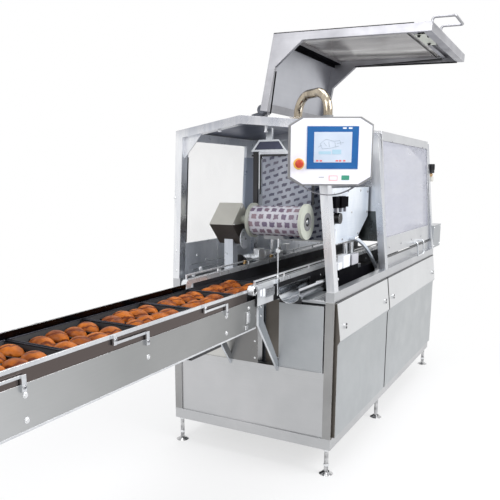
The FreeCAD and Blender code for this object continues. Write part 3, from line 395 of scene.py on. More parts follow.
# The dark band on the ridge beams near the hinge is painted shade.
steel("ridge steel", (0.42, 0.45, 0.50), (0.80, 0.82, 0.85), 0.3, grain=(4, 60, 60), bump=0.02,
      zones=[((61, 999), (480, 640), (1950, 1990), (0.07, 0.08, 0.13))])
# The open and closed hoods are the same steel; the open hood's copy is painted darker: painted
# shade.
steel("open hood steel", (0.22, 0.22, 0.24), (0.50, 0.50, 0.53), 0.40, patch=(3.4, (1, 0.8, 1)))
steel("closed hood steel", (0.54, 0.55, 0.57), (0.64, 0.65, 0.67), 0.34)
steel("dark steel", (0.05, 0.055, 0.065), (0.20, 0.21, 0.24), 0.30, edge=(0.4, 0.4, 0.42))
steel("shaded steel", (0.11, 0.10, 0.09), (0.17, 0.155, 0.14), 0.45)
steel("plate blue steel", (0.50, 0.57, 0.68), (0.95, 0.98, 1.0), 0.34, patch=(3.0, (1, 1, 0.5)),
      metal=0.5, zones=[((280, 372), (80, 137), (1380, 1480), (0.004, 0.004, 0.005))])
# Arm steel: the dark and tan streaks are painted reflection.
steel("arm steel", (0.10, 0.075, 0.05), (0.66, 0.58, 0.46), 0.14, grain=(60, 60, 60), bump=0.01,
      patch=(14.0, (1, 1, 0.5)))
# The three guard sheets are one clear material painted for how light falls on each: upright streaks
# of painted reflection on the closed hood, a darker, streaky painted reflection on the open hood,
# and a pale far sheet that is painted light.
clear_sheet("clear guard", (0.44, 0.45, 0.53), 0.70, 0.12, (3.2, (0.5, 1, 2.4)), 0.22)
clear_sheet("open guard", (0.14, 0.125, 0.12), 0.68, 0.14, (6.0, (2.6, 0.35, 1)), 0.42)
clear_sheet("far guard", (0.95, 0.95, 0.96), 0.12, 0.12)
moulded("rubber belt", (0.008, 0.008, 0.010), (0.022, 0.022, 0.026), 0.6, shine=0.3)
moulded("baking tray", (0.003, 0.003, 0.004), (0.009, 0.009, 0.012), 0.4, shine=0.35)
steel("tray rim", (0.010, 0.010, 0.014), (0.05, 0.05, 0.065), 0.35, edge=(0.16, 0.16, 0.18))
printed("printed web", ((0.25, 0.27, 0.33), (0.44, 0.46, 0.52)), (0.055, 0.06, 0.10),
        (0.13, 0.12, 0.16))
printed("printed roll", ((0.42, 0.41, 0.47), (0.72, 0.71, 0.76)), (0.15, 0.12, 0.19),
        (0.27, 0.19, 0.22), around=(REEL_X, REEL_Z, 0.088), width=0.048, height=0.046, gap=0.010)
# Cream plastic is painted darker beyond y 0.60 m, on the far reel disc: painted shade.
moulded("cream plastic", (0.52, 0.54, 0.47), (0.62, 0.64, 0.56), 0.42,
        fades=[(ALONG_Y, 0.60, 0.50, (0.60, 0.60, 0.60))])
# The dark zone on the film drive box's lower part is painted shade.
moulded("beige paint", (0.46, 0.45, 0.41), (0.54, 0.53, 0.48), 0.42,
        zones=[((100, 400), (600, 900), (1200, 1383), (0.045, 0.034, 0.028))])
moulded("black plastic", (0.001, 0.001, 0.0015), (0.003, 0.003, 0.005), 0.85, shine=0.05)
moulded("deep blue", (0.035, 0.04, 0.085), (0.10, 0.11, 0.19), 0.3)
moulded("satin black", (0.006, 0.006, 0.008), (0.014, 0.014, 0.018), 0.35)
moulded("regulator parts", (0.004, 0.004, 0.007), (0.010, 0.010, 0.016), 0.4,
        zones=[((2400, 2600), (0, 120), (1672, 1700), (0.42, 0.25, 0.09)),
               ((2400, 2600), (0, 120), (1600, 1672), (0.55, 0.54, 0.50))])
moulded("panel beige", (0.20, 0.20, 0.21), (0.27, 0.27, 0.27), 0.42)
moulded("panel white", (0.80, 0.80, 0.87), (0.88, 0.88, 0.94), 0.35)
moulded("screen bezel", (0.002, 0.085, 0.29), (0.008, 0.120, 0.36), 0.24)
steel("bright bolt", (0.72, 0.73, 0.75), (0.88, 0.89, 0.91), 0.22, grain=(40, 40, 40), bump=0.01)
steel("dark bolt", (0.10, 0.10, 0.12), (0.22, 0.22, 0.25), 0.3, grain=(40, 40, 40), bump=0.01)
# Mirror white: bright mirror metal for white blocks in the bay's shade, so that they read light:
# painted light.
steel("mirror white", (0.92, 0.94, 0.97), (1.0, 1.0, 1.0), 0.3, grain=(40, 40, 40), bump=0.01)
moulded("white block", (0.80, 0.82, 0.86), (0.90, 0.91, 0.94), 0.4)
moulded("grey mat", (0.10, 0.10, 0.11), (0.30, 0.29, 0.29), 0.6, scale=40.0, speckle=0.3)
crust("baked crust", (0.10, 0.016, 0.001), (0.52, 0.145, 0.012))
moulded("display", (0.50, 0.57, 0.68), (0.64, 0.70, 0.80), 0.2)
moulded("display grey", (0.28, 0.35, 0.42), (0.36, 0.44, 0.50), 0.2)
moulded("display cyan", (0.36, 0.55, 0.66), (0.44, 0.62, 0.74), 0.2)
moulded("mark red", (0.70, 0.10, 0.10), (0.80, 0.16, 0.15), 0.3)
moulded("mark pink", (0.90, 0.45, 0.48), (0.95, 0.56, 0.58), 0.3)
moulded("mark green", (0.03, 0.22, 0.14), (0.05, 0.30, 0.20), 0.3)
moulded("mark grey", (0.42, 0.42, 0.46), (0.52, 0.52, 0.56), 0.3)
steel("brass", (0.42, 0.26, 0.10), (0.62, 0.42, 0.18), 0.25, grain=(40, 40, 40))
moulded("stop yellow", (0.78, 0.46, 0.08), (0.86, 0.58, 0.14), 0.3)
moulded("stop red", (0.48, 0.035, 0.010), (0.60, 0.06, 0.016), 0.30)

FINISHES = {
    "post steel": ["cabinet_posts"],
    "foot chrome": ["levelling_feet"],
    "rail steel": ["transport_rails"],
    "cabinet steel": ["base_frame", "infeed_end_panel", "outfeed_end_panel",
                      "far_side_panels", "station_head"],
    "box steel": ["infeed_box", "cabinet_deck", "outfeed_box"],
    "plate steel": ["infeed_cover_plates"],
    "plate blue steel": ["station_plate"],
    "cover steel": ["infeed_cover", "outfeed_cover"],
    "ledge steel": ["top_rails"],
    "frame steel": ["infeed_portal", "middle_portal", "outfeed_portal"],
    "polished steel": ["outfeed_hood_handle", "scrap_chute", "station_columns", "web_roller",
                       "web_guide", "conveyor_pulleys", "tray_sensor", "transport_struts"],
    "guide steel": ["guide_rails"],
    "arm steel": ["control_arm"],
    "far wall steel": ["far_guard_frames", "film_drive_column"],
    "conveyor steel": ["conveyor_frame", "conveyor_stand"],
    "far roof steel": ["roof_panels"],
    "ridge steel": ["ridge_beams"],
    "roof steel": ["infeed_hood_roof", "outfeed_hood_roof"],
    "open hood steel": ["infeed_hood_frame", "infeed_hood_handle"],
    "dark bolt": ["panel_bow"],
    "closed hood steel": ["outfeed_hood_frame"],
    "dark steel": ["hood_hinges"],
    "clear guard": ["outfeed_hood_window"],
    "open guard": ["infeed_hood_window"],
    "far guard": ["far_guard_windows"],
    "rubber belt": ["conveyor_belt", "transport_bed"],
    "baking tray": ["trays"],
    "printed web": ["film_web"],
    "printed roll": ["film_roll"],
    "cream plastic": ["reel_core"],
    "beige paint": ["film_drive_box"],
    "black plastic": ["station_base"],
    "regulator parts": ["air_regulator"],
    "panel beige": ["panel_housing"],
    "panel white": ["panel_plate"],
    "screen bezel": ["panel_screen"],
    "stop red": ["emergency_stop"],
}


def paint(mesh, material):
    mesh.materials.clear()
    mesh.materials.append(MATERIALS[material])


for finish, names in FINISHES.items():
    for node_name in names:
        paint(bpy.data.objects[node_name].data, finish)


# Places on the bodies that stand turned
HINGE_Y, HINGE_Z = 500.0, 2006.0
HOOD_OPEN = math.radians(-83.5)
HOOD_CORNER = Vector((88.0, 1962.0))
HOOD_DOWN = (Vector((28.0, 1140.0)) - HOOD_CORNER).normalized()
HOOD_IN = Vector((-HOOD_DOWN.y, HOOD_DOWN.x))
PANEL_TURN = math.radians(29.2)
PANEL_FOOT = (-121.0, 20.0, 1620.0)


def turn(angle, a, b):
    """Two coordinates after a turn about their origin."""
    cosine, sine = math.cos(angle), math.sin(angle)
    return cosine * a - sine * b, sine * a + cosine * b


def opened(x, y, z):
    """Place on the infeed hood, given as if that hood were closed."""
    y, z = turn(HOOD_OPEN, y - HINGE_Y, z - HINGE_Z)
    return point(x, HINGE_Y + y, HINGE_Z + z)


def hood_face(x, run, depth):
    """Place on a hood's window leg: run down from its corner, depth in from its face."""
    y, z = HOOD_CORNER + HOOD_DOWN * run + HOOD_IN * depth
    return x, y, z


def on_open_hood(x, run, depth):
    return opened(*hood_face(x, run, depth))


def on_closed_hood(x, run, depth):
    return point(*hood_face(x, run, depth))


def on_panel(x, y, z):
    """Place on the control panel: x back from its swivel axis, y to its left, z up its side."""
    x, y = turn(PANEL_TURN, x, y)
    return point(PANEL_FOOT[0] + x, PANEL_FOOT[1] + y, PANEL_FOOT[2] + z)


# Mesh building
class Piece:
    """Solids gathered in one mesh; place turns millimetres into the scene's metres."""

    def __init__(self, place=point):
        self.mesh = bmesh.new()
        self.place = place

    def solid(self, corners, faces):
        verts = [self.mesh.verts.new(self.place(*corner)) for corner in corners]
        for face in faces:
            self.mesh.faces.new([verts[i] for i in face])

    def box(self, x, y, z):
        corners = [(a, b, c) for a in x for b in y for c in z]
        self.solid(corners, [(0, 1, 3, 2), (4, 6, 7, 5), (0, 4, 5, 1), (2, 3, 7, 6),
                             (0, 2, 6, 4), (1, 5, 7, 3)])

    def rings(self, rings):
        """Closed skin over rings of corners, with a flat cap at each end."""
        count = len(rings[0])
        faces = [tuple(range(count)),
                 tuple(range(len(rings) * count - 1, (len(rings) - 1) * count - 1, -1))]
        for row in range(len(rings) - 1):
            for i in range(count):
                a, b = row * count + i, row * count + (i + 1) % count
                faces.append((a, b, b + count, a + count))
        self.solid([corner for ring in rings for corner in ring], faces)

    def turned(self, start, end, profile, sides):
        """Body turned about the line from start to end: profile of (run, radius)."""
        start, end = Vector(start), Vector(end)
        way = (end - start).normalized()
        side = way.orthogonal().normalized()
        up = way.cross(side)
        angles = [2 * math.pi * i / sides for i in range(sides)]
        spokes = [side * math.cos(a) + up * math.sin(a) for a in angles]
        self.rings([[start + way * run + radius * spoke for spoke in spokes]
                    for run, radius in profile])

    def rod(self, start, end, radius, sides):
        run = (Vector(end) - Vector(start)).length
        lip = min(radius * 0.12, run / 4)
        profile = [(0, radius - lip), (lip, radius), (run - lip, radius), (run, radius - lip)]
        self.turned(start, end, profile, sides)

    def prism(self, outline, span):
        """Outline in y and z, drawn out over a span of x."""
        self.rings([[(x, y, z) for y, z in outline] for x in span])

    def done(self, name, material, body="machine_frame", bevel=0.0):
        bmesh.ops.recalc_face_normals(self.mesh, faces=self.mesh.faces)
        data = bpy.data.meshes.new(name)
        self.mesh.to_mesh(data)
        self.mesh.free()
        return show(name, data, material, body, bevel)


def show(name, data, material, body, bevel=0.0, smooth=35):
    """Put a finished mesh in the scene and let it ride on its body."""
    paint(data, material)
    data.shade_smooth()
    data.set_sharp_from_angle(angle=math.radians(smooth))
    piece = bpy.data.objects.new(name, data)
    bpy.context.scene.collection.objects.link(piece)
    if bevel:
        edge = piece.modifiers.new("bevel", "BEVEL")
        edge.width = bevel / 1000
        edge.segments = 2
        edge.limit_method = "ANGLE"
        edge.angle_limit = math.radians(40)
    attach(piece, body)
    return piece


# Pieces made in one call
def blocks(name, material, boxes, body="machine_frame", bevel=0.6, place=point):
    """Boxes in one mesh, each given by its x, y and z spans."""
    piece = Piece(place)
    for x, y, z in boxes:
        piece.box(x, y, z)
    return piece.done(name, material, body, bevel)


def rods(name, material, bars, body="machine_frame", sides=16):
    """Round bars in one mesh, each given by its ends and radius."""
    piece = Piece()
    for start, end, radius in bars:
        piece.rod(start, end, radius, sides)
    return piece.done(name, material, body)


def turned(name, material, start, end, profile, sides, body="machine_frame", place=point):
    """One body turned about the line from start to end."""
    piece = Piece(place)
    piece.turned(start, end, profile, sides)
    return piece.done(name, material, body)


def drawn(name, material, outline, span, body="machine_frame", bevel=0.0, place=point):
    """One outline in y and z, drawn out over a span of x."""
    piece = Piece(place)
    piece.prism(outline, span)
    return piece.done(name, material, body, bevel)


# Geometry Nodes
def modifier_tree(name, inputs):
    """Empty Geometry Nodes tree: a geometry, the inputs and a material go in."""
    tree = bpy.data.node_groups.new(name, "GeometryNodeTree")
    tree.is_modifier = True
    tree.interface.new_socket("Geometry", in_out="INPUT", socket_type="NodeSocketGeometry")
    add_inputs(tree, inputs)
    tree.interface.new_socket("Material", in_out="INPUT", socket_type="NodeSocketMaterial")
    tree.interface.new_socket("Geometry", in_out="OUTPUT", socket_type="NodeSocketGeometry")
    return tree, put(tree, "NodeGroupInput").outputs


def close_tree(tree, given, instances):
    """Leave the instances as one plain mesh of the material."""
    real = put(tree, "GeometryNodeRealizeInstances", {0: instances.outputs[0]})
    painted = put(tree, "GeometryNodeSetMaterial",
                  {"Geometry": real.outputs[0], "Material": given["Material"]})
    put(tree, "NodeGroupOutput", {0: painted.outputs[0]})
    return tree


def grow(name, base, tree, material, body, smooth=35, **values):
    """Run a tree on a base mesh and show the plain mesh that it leaves."""
    holder = bpy.data.objects.new(name + "_base", base)
    bpy.context.scene.collection.objects.link(holder)
    modifier = holder.modifiers.new("grow", "NODES")
    modifier.node_group = tree
    labels = {item.name: item.identifier for item in tree.interface.items_tree
              if item.item_type == "SOCKET" and item.in_out == "INPUT"}
    for label, value in values.items():
        modifier[labels[label.replace("_", " ")]] = value
    modifier[labels["Material"]] = MATERIALS[material]
    graph = bpy.context.evaluated_depsgraph_get()
    mesh = bpy.data.meshes.new_from_object(holder.evaluated_get(graph), depsgraph=graph)
    mesh.name = name
    holder.modifiers.clear()
    bpy.data.objects.remove(holder)
    return show(name, mesh, material, body, smooth=smooth)


def cloud(name, places, aims):
    """Loose points that each carry the direction they look in."""
    data = bpy.data.meshes.new(name)
    data.from_pydata([tuple(p) for p in places], [], [])
    aim = data.attributes.new("aim", "FLOAT_VECTOR", "POINT")
    aim.data.foreach_set("vector", [c for a in aims for c in a])
    return data


def fastener_tree():
    """A head with its washer on every point, turned to the point's direction."""
    tree, given = modifier_tree("fasteners", {"Head Radius": 0.006, "Head Height": 0.004,
                                              "Top Share": 0.9, "Sides": 6,
                                              "Washer Share": 1.35})
    radius, height = given["Head Radius"], given["Head Height"]
    top = number(tree, "MULTIPLY", radius, given["Top Share"])
    head = put(tree, "GeometryNodeMeshCone", {"Vertices": given["Sides"], "Radius Top": top,
                                              "Radius Bottom": radius, "Depth": height})
    reach = number(tree, "MULTIPLY", radius, given["Washer Share"])
    washer = put(tree, "GeometryNodeMeshCone", {"Vertices": 20, "Radius Bottom": reach,
                                                "Radius Top": number(tree, "MULTIPLY", reach, 0.95),
                                                "Depth": number(tree, "MULTIPLY", height, 0.25)})
    both = put(tree, "GeometryNodeJoinGeometry", {0: washer.outputs["Mesh"]})
    feed(tree, both, {0: head.outputs["Mesh"]})
    aim = put(tree, "GeometryNodeInputNamedAttribute", {"Name": "aim"}, data_type="FLOAT_VECTOR")
    facing = put(tree, "FunctionNodeAlignRotationToVector",
                 {"Vector": aim.outputs["Attribute"]}, axis="Z")
    spread = put(tree, "GeometryNodeInstanceOnPoints",
                 {"Points": given["Geometry"], "Instance": both.outputs[0],
                  "Rotation": facing.outputs[0]})
    return close_tree(tree, given, spread)


FASTENERS = fastener_tree()


def fasteners(name, spots, radius, height, place=point, material="bright bolt",
              body="machine_frame", sides=6, top=0.92, washer=1.35):
    """Heads at spots of (place, direction), both in millimetres; so are radius and height."""
    places, aims = [], []
    for spot, aim in spots:
        here = place(*spot)
        there = place(*(Vector(spot) + Vector(aim)))
        places.append(here)
        aims.append((there - here).normalized())
    return grow(name, cloud(name, places, aims), FASTENERS, material, body,
                Head_Radius=radius / 1000, Head_Height=height / 1000, Top_Share=top,
                Sides=sides, Washer_Share=washer)


def slat_tree():
    """A small box on every point."""
    tree, given = modifier_tree("slats", {"Size": (0.01, 0.01, 0.01)})
    bar = put(tree, "GeometryNodeMeshCube", {"Size": given["Size"]})
    spread = put(tree, "GeometryNodeInstanceOnPoints",
                 {"Points": given["Geometry"], "Instance": bar.outputs["Mesh"]})
    return close_tree(tree, given, spread)


SLATS = slat_tree()


def slats(name, spots, size, material):
    base = cloud(name, [point(*spot) for spot in spots], [ALONG_Z] * len(spots))
    return grow(name, base, SLATS, material, "machine_frame", smooth=30,
                Size=[side / 1000 for side in size])


# Baked rolls on the trays
TRAY_PITCH = 388.0
TRAY_COUNT = 6
TRAY_FRONT = -46.0
TRAY_LENGTH = 380.0
LANE_MIDDLE = 485.0
BELT_TOP = 1046.0
ROLL_GAP = 84
COLUMNS_Y = (LANE_MIDDLE - 52, LANE_MIDDLE + 84)


def roll_tree():
    """A roll on every point, each turned and sized a little differently."""
    tree, given = modifier_tree("baked rolls", {"Roll Length": 0.060, "Roll Width": 0.039,
                                                "Roll Height": 0.033, "Seed": 4})
    ball = put(tree, "GeometryNodeMeshUVSphere", {"Segments": 28, "Rings": 18, "Radius": 1.0})
    place = put(tree, "GeometryNodeInputPosition").outputs[0]
    x, y, z = put(tree, "ShaderNodeSeparateXYZ", {0: place}).outputs
    pinch = number(tree, "POWER", number(tree, "ABSOLUTE", y), 2.5)
    waist = number(tree, "SUBTRACT", 1.0, number(tree, "MULTIPLY", pinch, 0.32))
    x = number(tree, "MULTIPLY", x, waist)
    z = number(tree, "MULTIPLY", number(tree, "MAXIMUM", z, -0.35), waist)
    size = put(tree, "ShaderNodeCombineXYZ",
               {label: number(tree, "MULTIPLY", share, given[width]) for label, share, width in
                (("X", x, "Roll Width"), ("Y", y, "Roll Length"), ("Z", z, "Roll Height"))})
    shaped = put(tree, "GeometryNodeSetPosition",
                 {"Geometry": ball.outputs["Mesh"], "Position": size.outputs[0]})

    def scatter(low, high, offset):
        seed = number(tree, "ADD", given["Seed"], offset)
        return put(tree, "FunctionNodeRandomValue", {0: low, 1: high, "Seed": seed},
                   data_type="FLOAT_VECTOR").outputs[0]

    spread = put(tree, "GeometryNodeInstanceOnPoints",
                 {"Points": given["Geometry"], "Instance": shaped.outputs[0],
                  "Rotation": scatter((-0.05, -0.06, -0.13), (0.05, 0.06, 0.13), 1),
                  "Scale": scatter((0.93, 0.92, 0.88), (1.05, 1.04, 1.08), 2)})
    return close_tree(tree, given, spread)


def rolls():
    spots = []
    for tray in range(TRAY_COUNT):
        middle = TRAY_FRONT - tray * TRAY_PITCH - TRAY_LENGTH / 2
        for column, y in enumerate(COLUMNS_Y):
            for row in range(4):
                x = middle + (row - 1.5) * ROLL_GAP + (10 if column else -6)
                spots.append(point(x, y + (6 if row % 2 else -6), BELT_TOP + 14))
    base = cloud("baked_rolls", spots, [ALONG_Z] * len(spots))
    grow("baked_rolls", base, roll_tree(), "baked crust", "machine_frame", smooth=80)


rolls()


# Control panel: display, marks and stop button
def rounded(width, height, radius):
    """Outline of a rounded rectangle about the origin."""
    outline = []
    steps = 5
    for cx, cy, first in ((1, 1, 0), (-1, 1, 90), (-1, -1, 180), (1, -1, 270)):
        for i in range(steps + 1):
            a = math.radians(first + 90 * i / steps)
            outline.append((cx * (width / 2 - radius) + radius * math.cos(a),
                            cy * (height / 2 - radius) + radius * math.sin(a)))
    return outline


PLATE_FACE = -43.0
PLATE_MIDDLE = -14.0
SCREEN_FACE = -46.0
SCREEN_MIDDLE = (-21.0, 181.0)
STOP_Y, STOP_Z = 142.0, 104.0


def panel_mark(name, y, z, width, height, material, face, rise, corner=1.5):
    """Thin printed or inset area that stands out from a face of the panel by its rise."""
    piece = Piece(on_panel)
    outline = [(y + a, z + b) for a, b in rounded(width, height, corner)]
    piece.prism(outline, (face - rise, face + 0.3))
    piece.done(name, material, "control_panel")


def panel_details():
    y, z = SCREEN_MIDDLE
    panel_mark("display", y - 1, z + 2, 184, 144, "display", SCREEN_FACE, 1.2, 2.0)
    sketch = Piece(on_panel)
    strokes = [((-62, 18), (-34, 40)), ((-34, 40), (6, 30)), ((6, 30), (34, 34)),
               ((-62, 18), (-50, -6)), ((-50, -6), (-8, -2)), ((-8, -2), (30, 8)),
               ((34, 34), (40, 12)), ((-20, 28), (-16, 4)), ((10, 26), (14, 2)),
               ((-70, 2), (-54, 12)), ((-44, 24), (-30, 8)), ((20, 20), (52, 24))]
    for (a, b), (c, d) in strokes:
        sketch.rod((SCREEN_FACE - 1.3, y - a, z + b), (SCREEN_FACE - 1.3, y - c, z + d), 0.9, 6)
    sketch.done("display_sketch", "display grey", "control_panel")
    for i, (left, up, width, height) in enumerate([(-38, -24, 60, 14), (20, -20, 44, 22)]):
        panel_mark(f"display_field_{i}", y - left, z + up, width, height, "display cyan",
                   SCREEN_FACE, 1.7)
    for i, left in enumerate((-74, -56, 22, 38, 58)):
        panel_mark(f"display_note_{i}", y - left, z - 62, 12, 7, "mark red", SCREEN_FACE, 1.8)
    for i, left in enumerate((56, 84)):
        panel_mark(f"bezel_icon_{i}", y - left, z + 92, 18, 7, "white block", SCREEN_FACE, 0.8)
    for label, left, up, width, height, material, rise in (
            ("label", 14, 36, 44, 26, "mark pink", 0.8),
            ("label_field", 14, 36, 34, 16, "white block", 1.2),
            ("lamp", 74, 38, 38, 22, "mark green", 1.6),
            ("line", -44, 40, 26, 5, "mark grey", 0.6)):
        panel_mark(f"panel_{label}", PLATE_MIDDLE - left, up, width, height, material,
                   PLATE_FACE, rise)
    stop = (PLATE_FACE, STOP_Y, STOP_Z), (PLATE_FACE - 40, STOP_Y, STOP_Z)
    turned("stop_ring", "stop yellow", *stop, [(0, 27), (3, 27), (5, 25), (5.5, 17)], 40,
           "control_panel", on_panel)
    cap = turned("stop_button", "stop red", *stop,
                 [(5, 12), (19, 12), (20, 19), (23, 20.5), (29, 20.5), (33, 18.5), (35.5, 14),
                  (36.8, 8), (37.2, 2)], 40, "control_panel", on_panel)
    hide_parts("emergency_stop")


panel_details()


# Small parts, gathered by place. The lane's two sides are -1, the operator's, and 1.
SIDES = (-1, 1)
PLATE_Y = {-1: 300.0, 1: 670.0}
CLAMP_Y = {-1: 290.0, 1: 680.0}
RAIL_Y = {-1: 278.0, 1: 692.0}
WALL_Y = {-1: 292, 1: 678}
CLAMP_PLACES = (-632.0, -1234.0, -1836.0)
NOSE_X, NOSE_Z = -394.0, 1106.0


def conveyor_details():
    bolts, screws = [], []
    for way in SIDES:
        bolts += [((x, PLATE_Y[way], z), (0, way, 0)) for x, z in
                  ((-2438, 979), (-1836, 1016), (-1836, 936), (-1234, 979), (-632, 1020),
                   (-632, 939), (-408, 1019))]
        for x in CLAMP_PLACES:
            screws += [((x + dx, CLAMP_Y[way], z), (0, way, 0))
                       for dx, z in ((-197, 1093), (-9, 1045))]
    fasteners("conveyor_bolts", bolts, 8, 5)
    fasteners("clamp_screws", screws, 5, 4, material="dark bolt", sides=12)
    blocks("conveyor_hanger", "bright bolt",
           [((-440, -408), (293, 300), (944, 1003)), ((-436, -412), (289, 293), (952, 995)),
            ((-456, -426), (293, 300), (914, 936))], bevel=2.0)
    blocks("conveyor_lip", "pale steel", [((-2560, -335), (298.6, 300), (898, 906)),
                                          ((-2560, -335), (670, 671.4), (898, 906))])
    blocks("conveyor_underrail", "satin black", [((-929, -675), (304, 330), (882, 898)),
                                                 ((-929, -675), (640, 666), (882, 898))])
    for way in SIDES:
        fasteners(f"foot_screws_{way}", [((x, PLATE_Y[way] + way * 15, z), (0, way, 0))
                                         for x in (-2462, -2418) for z in (860, 120)], 6, 4)


TRAY_WIDTH = 346.0
TRAY_TOP = 1084.0
RIDGE_Z = (1050, 1066)


def tray_rims():
    """Rolled rim and row ridges that make each tray read as a baking tin."""
    rim = Piece()
    for tray in range(TRAY_COUNT):
        front = TRAY_FRONT - tray * TRAY_PITCH
        x = (front - TRAY_LENGTH, front)
        y = (LANE_MIDDLE - TRAY_WIDTH / 2, LANE_MIDDLE + TRAY_WIDTH / 2)
        for a, b in (((x[0], y[0]), (x[1], y[0])), ((x[0], y[1]), (x[1], y[1])),
                     ((x[0] + 3, y[0]), (x[0] + 3, y[1])), ((x[1] - 3, y[0]), (x[1] - 3, y[1]))):
            rim.rod((*a, TRAY_TOP), (*b, TRAY_TOP), 3.2, 8)
        for row in range(1, 4):
            along = x[0] + row * TRAY_LENGTH / 4
            rim.box((along - 3, along + 3), (y[0] + 6, y[1] - 6), RIDGE_Z)
        rim.box((x[0] + 8, x[1] - 8), (LANE_MIDDLE - 4, LANE_MIDDLE + 4), RIDGE_Z)
    rim.done("tray_rims", "tray rim")


def transport_details():
    for way in SIDES:
        rail, wall = RAIL_Y[way], WALL_Y[way]
        nose = (NOSE_X, rail, NOSE_Z), (NOSE_X, rail + way * 8, NOSE_Z)
        turned(f"nose_pulley_{way}", "bright bolt", *nose,
               [(-1, 24.5), (5, 24.5), (8, 22), (8, 15), (2, 13)], 36)
        turned(f"nose_hub_{way}", "satin black", *nose,
               [(0, 13), (5, 13), (6, 9), (9, 8), (9.5, 5)], 24)
        face = wall + way * 3
        plate_y = tuple(sorted((wall, face)))
        blocks(f"wall_facing_{way}", "pale steel", [((-335, -150), plate_y, (1014, 1104))])
        outer = tuple(sorted((face, face + way * 14)))
        blocks(f"bearing_blocks_{way}", "white block",
               [((-333, -312), outer, (1066, 1100)), ((-300, -276), outer, (1060, 1100))],
               bevel=1.5)
        slats(f"drive_ribs_{way}", [(x, face + way * 5, 1072) for x in range(-262, -158, 14)],
              (8, 12, 46), "bright bolt")
        fasteners(f"wall_screws_{way}", [((x, wall, 1060), (0, way, 0))
                                         for x in range(-80, 2400, 310)], 6, 4)
    links = [(x, y, 1127.5) for y in (291, 679) for x in range(-376, 2420, 15)]
    slats("rail_chain", links, (9, 8, 4), "satin black")
    fasteners("strut_screws", [((x, y, z), (0, -1, 0)) for x, y, z in
                               ((-222, 325, 990), (-222, 325, 940), (0, 331, 650),
                                (0, 331, 610))], 6, 4)


def infeed_details():
    blocks("void_panel", "shaded steel", [((60, 63), (326, 436), (600, 988))])
    blocks("void_shade", "dark steel", [((58, 62), (436, 458), (600, 988))])
    blocks("void_floor", "ledge steel", [((34, 60), (326, 458), (596, 600.5))])
    blocks("box_seal", "satin black", [((0, 12), (190, 324), (974, 997))])
    blocks("box_lid", "ledge steel", [((4, 244), (56, 150), (999, 1004))])
    slats("lid_ribs", [(122, y, 1005.5) for y in (66, 84, 102, 120, 138)], (228, 7, 5),
          "bright bolt")
    fasteners("plate_screws", [((0, y, z), (-1, 0, 0)) for y, z in
                               ((476, 730), (476, 880), (476, 630), (640, 880), (640, 630))],
              5, 3)
    rods("chute_pin", "white block", [((272, 212, 1058), (372, 212, 1054), 5),
                                      ((367, 212, 1054), (367, 186, 1054), 5)])
    blocks("lock_marks", "satin black", [((x - 6, x + 6), (-36, -31), (z, z + 12))
                                         for x in (115, 908, 1102, 2371) for z in (842, 860)],
           bevel=1.5)
    blocks("cover_gap_shade", "satin black", [((998.5, 1011.5), (-16, 0.5), (228, 764)),
                                              ((998.5, 1011.5), (-7.5, 0.5), (764, 996))])
    line = [(0, 995), (-8.5, 995), (-32, 788), (-18, 762), (-18, 226), (0, 226)]
    drawn("cover_edge_shade", "satin black", line, (1009, 1019))
    drawn("corner_edge_shade", "shaded steel", line, (22, 25.3))
    blocks("corner_shade", "shaded steel", [((3, 25), (-1.2, 0.5), (218, 992))])
    blocks("ledge_line", "satin black", [((26, 998), (-8.4, 0.5), (989, 1000)),
                                         ((1012, 2460), (-8.4, 0.5), (989, 1000))], bevel=0)
    blocks("skirt_seal", "satin black", [((1042, 2420), (28.6, 33.4), (1119, 1131.5))], bevel=0)


def film_details():
    rim = Piece()
    for y, way in ((269, -1), (627, 1)):
        rim.turned((REEL_X, y, REEL_Z), (REEL_X, y + way * 3, REEL_Z),
                   [(-1, 52), (3, 52), (3, 44), (1, 42)], 40)
    rim.done("reel_rims", "panel beige", "film_reel")
    turned("reel_hub", "bright bolt", (REEL_X, 269, REEL_Z), (REEL_X, 262, REEL_Z),
           [(-2, 26), (1, 26), (1, 16), (5, 15), (6, 9)], 32, "film_reel")
    fasteners("reel_screws",
              [((REEL_X + 33 * math.cos(a), 269, REEL_Z + 33 * math.sin(a)), (0, -1, 0))
               for a in (0.5, 2.6, 4.7)], 3.5, 2.5,
              body="film_reel", material="dark bolt", sides=12)
    drawn("guide_backing", "deep blue", [(452, 1806), (679, 1806), (630, 1880), (502, 1880)],
          (341.5, 343.0))
    blocks("guide_strip", "white block", [((336, 341), (462, 668), (1799, 1809))])
    blocks("guide_bar", "satin black", [((335, 342), (450, 680), (1786, 1796))])
    blocks("web_side_bars", "satin black", [((326, 342), (634, 664), (1494, 1812)),
                                            ((334, 340), (616, 624), (1560, 1796)),
                                            ((344, 352), (272, 284), (1500, 1780))])
    for i, (y, z) in enumerate(((724, 1931), (432, 1918))):
        rods(f"roof_clip_{i}", "white block", [((30, y, z + 18), (30, y, z - 12), 7),
                                               ((30, y, z - 10), (30, y, z - 17), 11)])
    fasteners("drive_screws", [((x, 697, z), (0, -1, 0)) for x, z in
                               ((250, 1485), (352, 1384), (148, 1384))], 6, 4)
    rods("guard_screw", "dark bolt", [((240, 671, 1294), (240, 666, 1294), 7)])
    blocks("sensor_eye", "satin black", [((-148, -132), (260.5, 263), (1288, 1300))])
    rods("sensor_nut", "bright bolt", [((-140, 270, 1150), (-140, 270, 1138), 9)], sides=6)


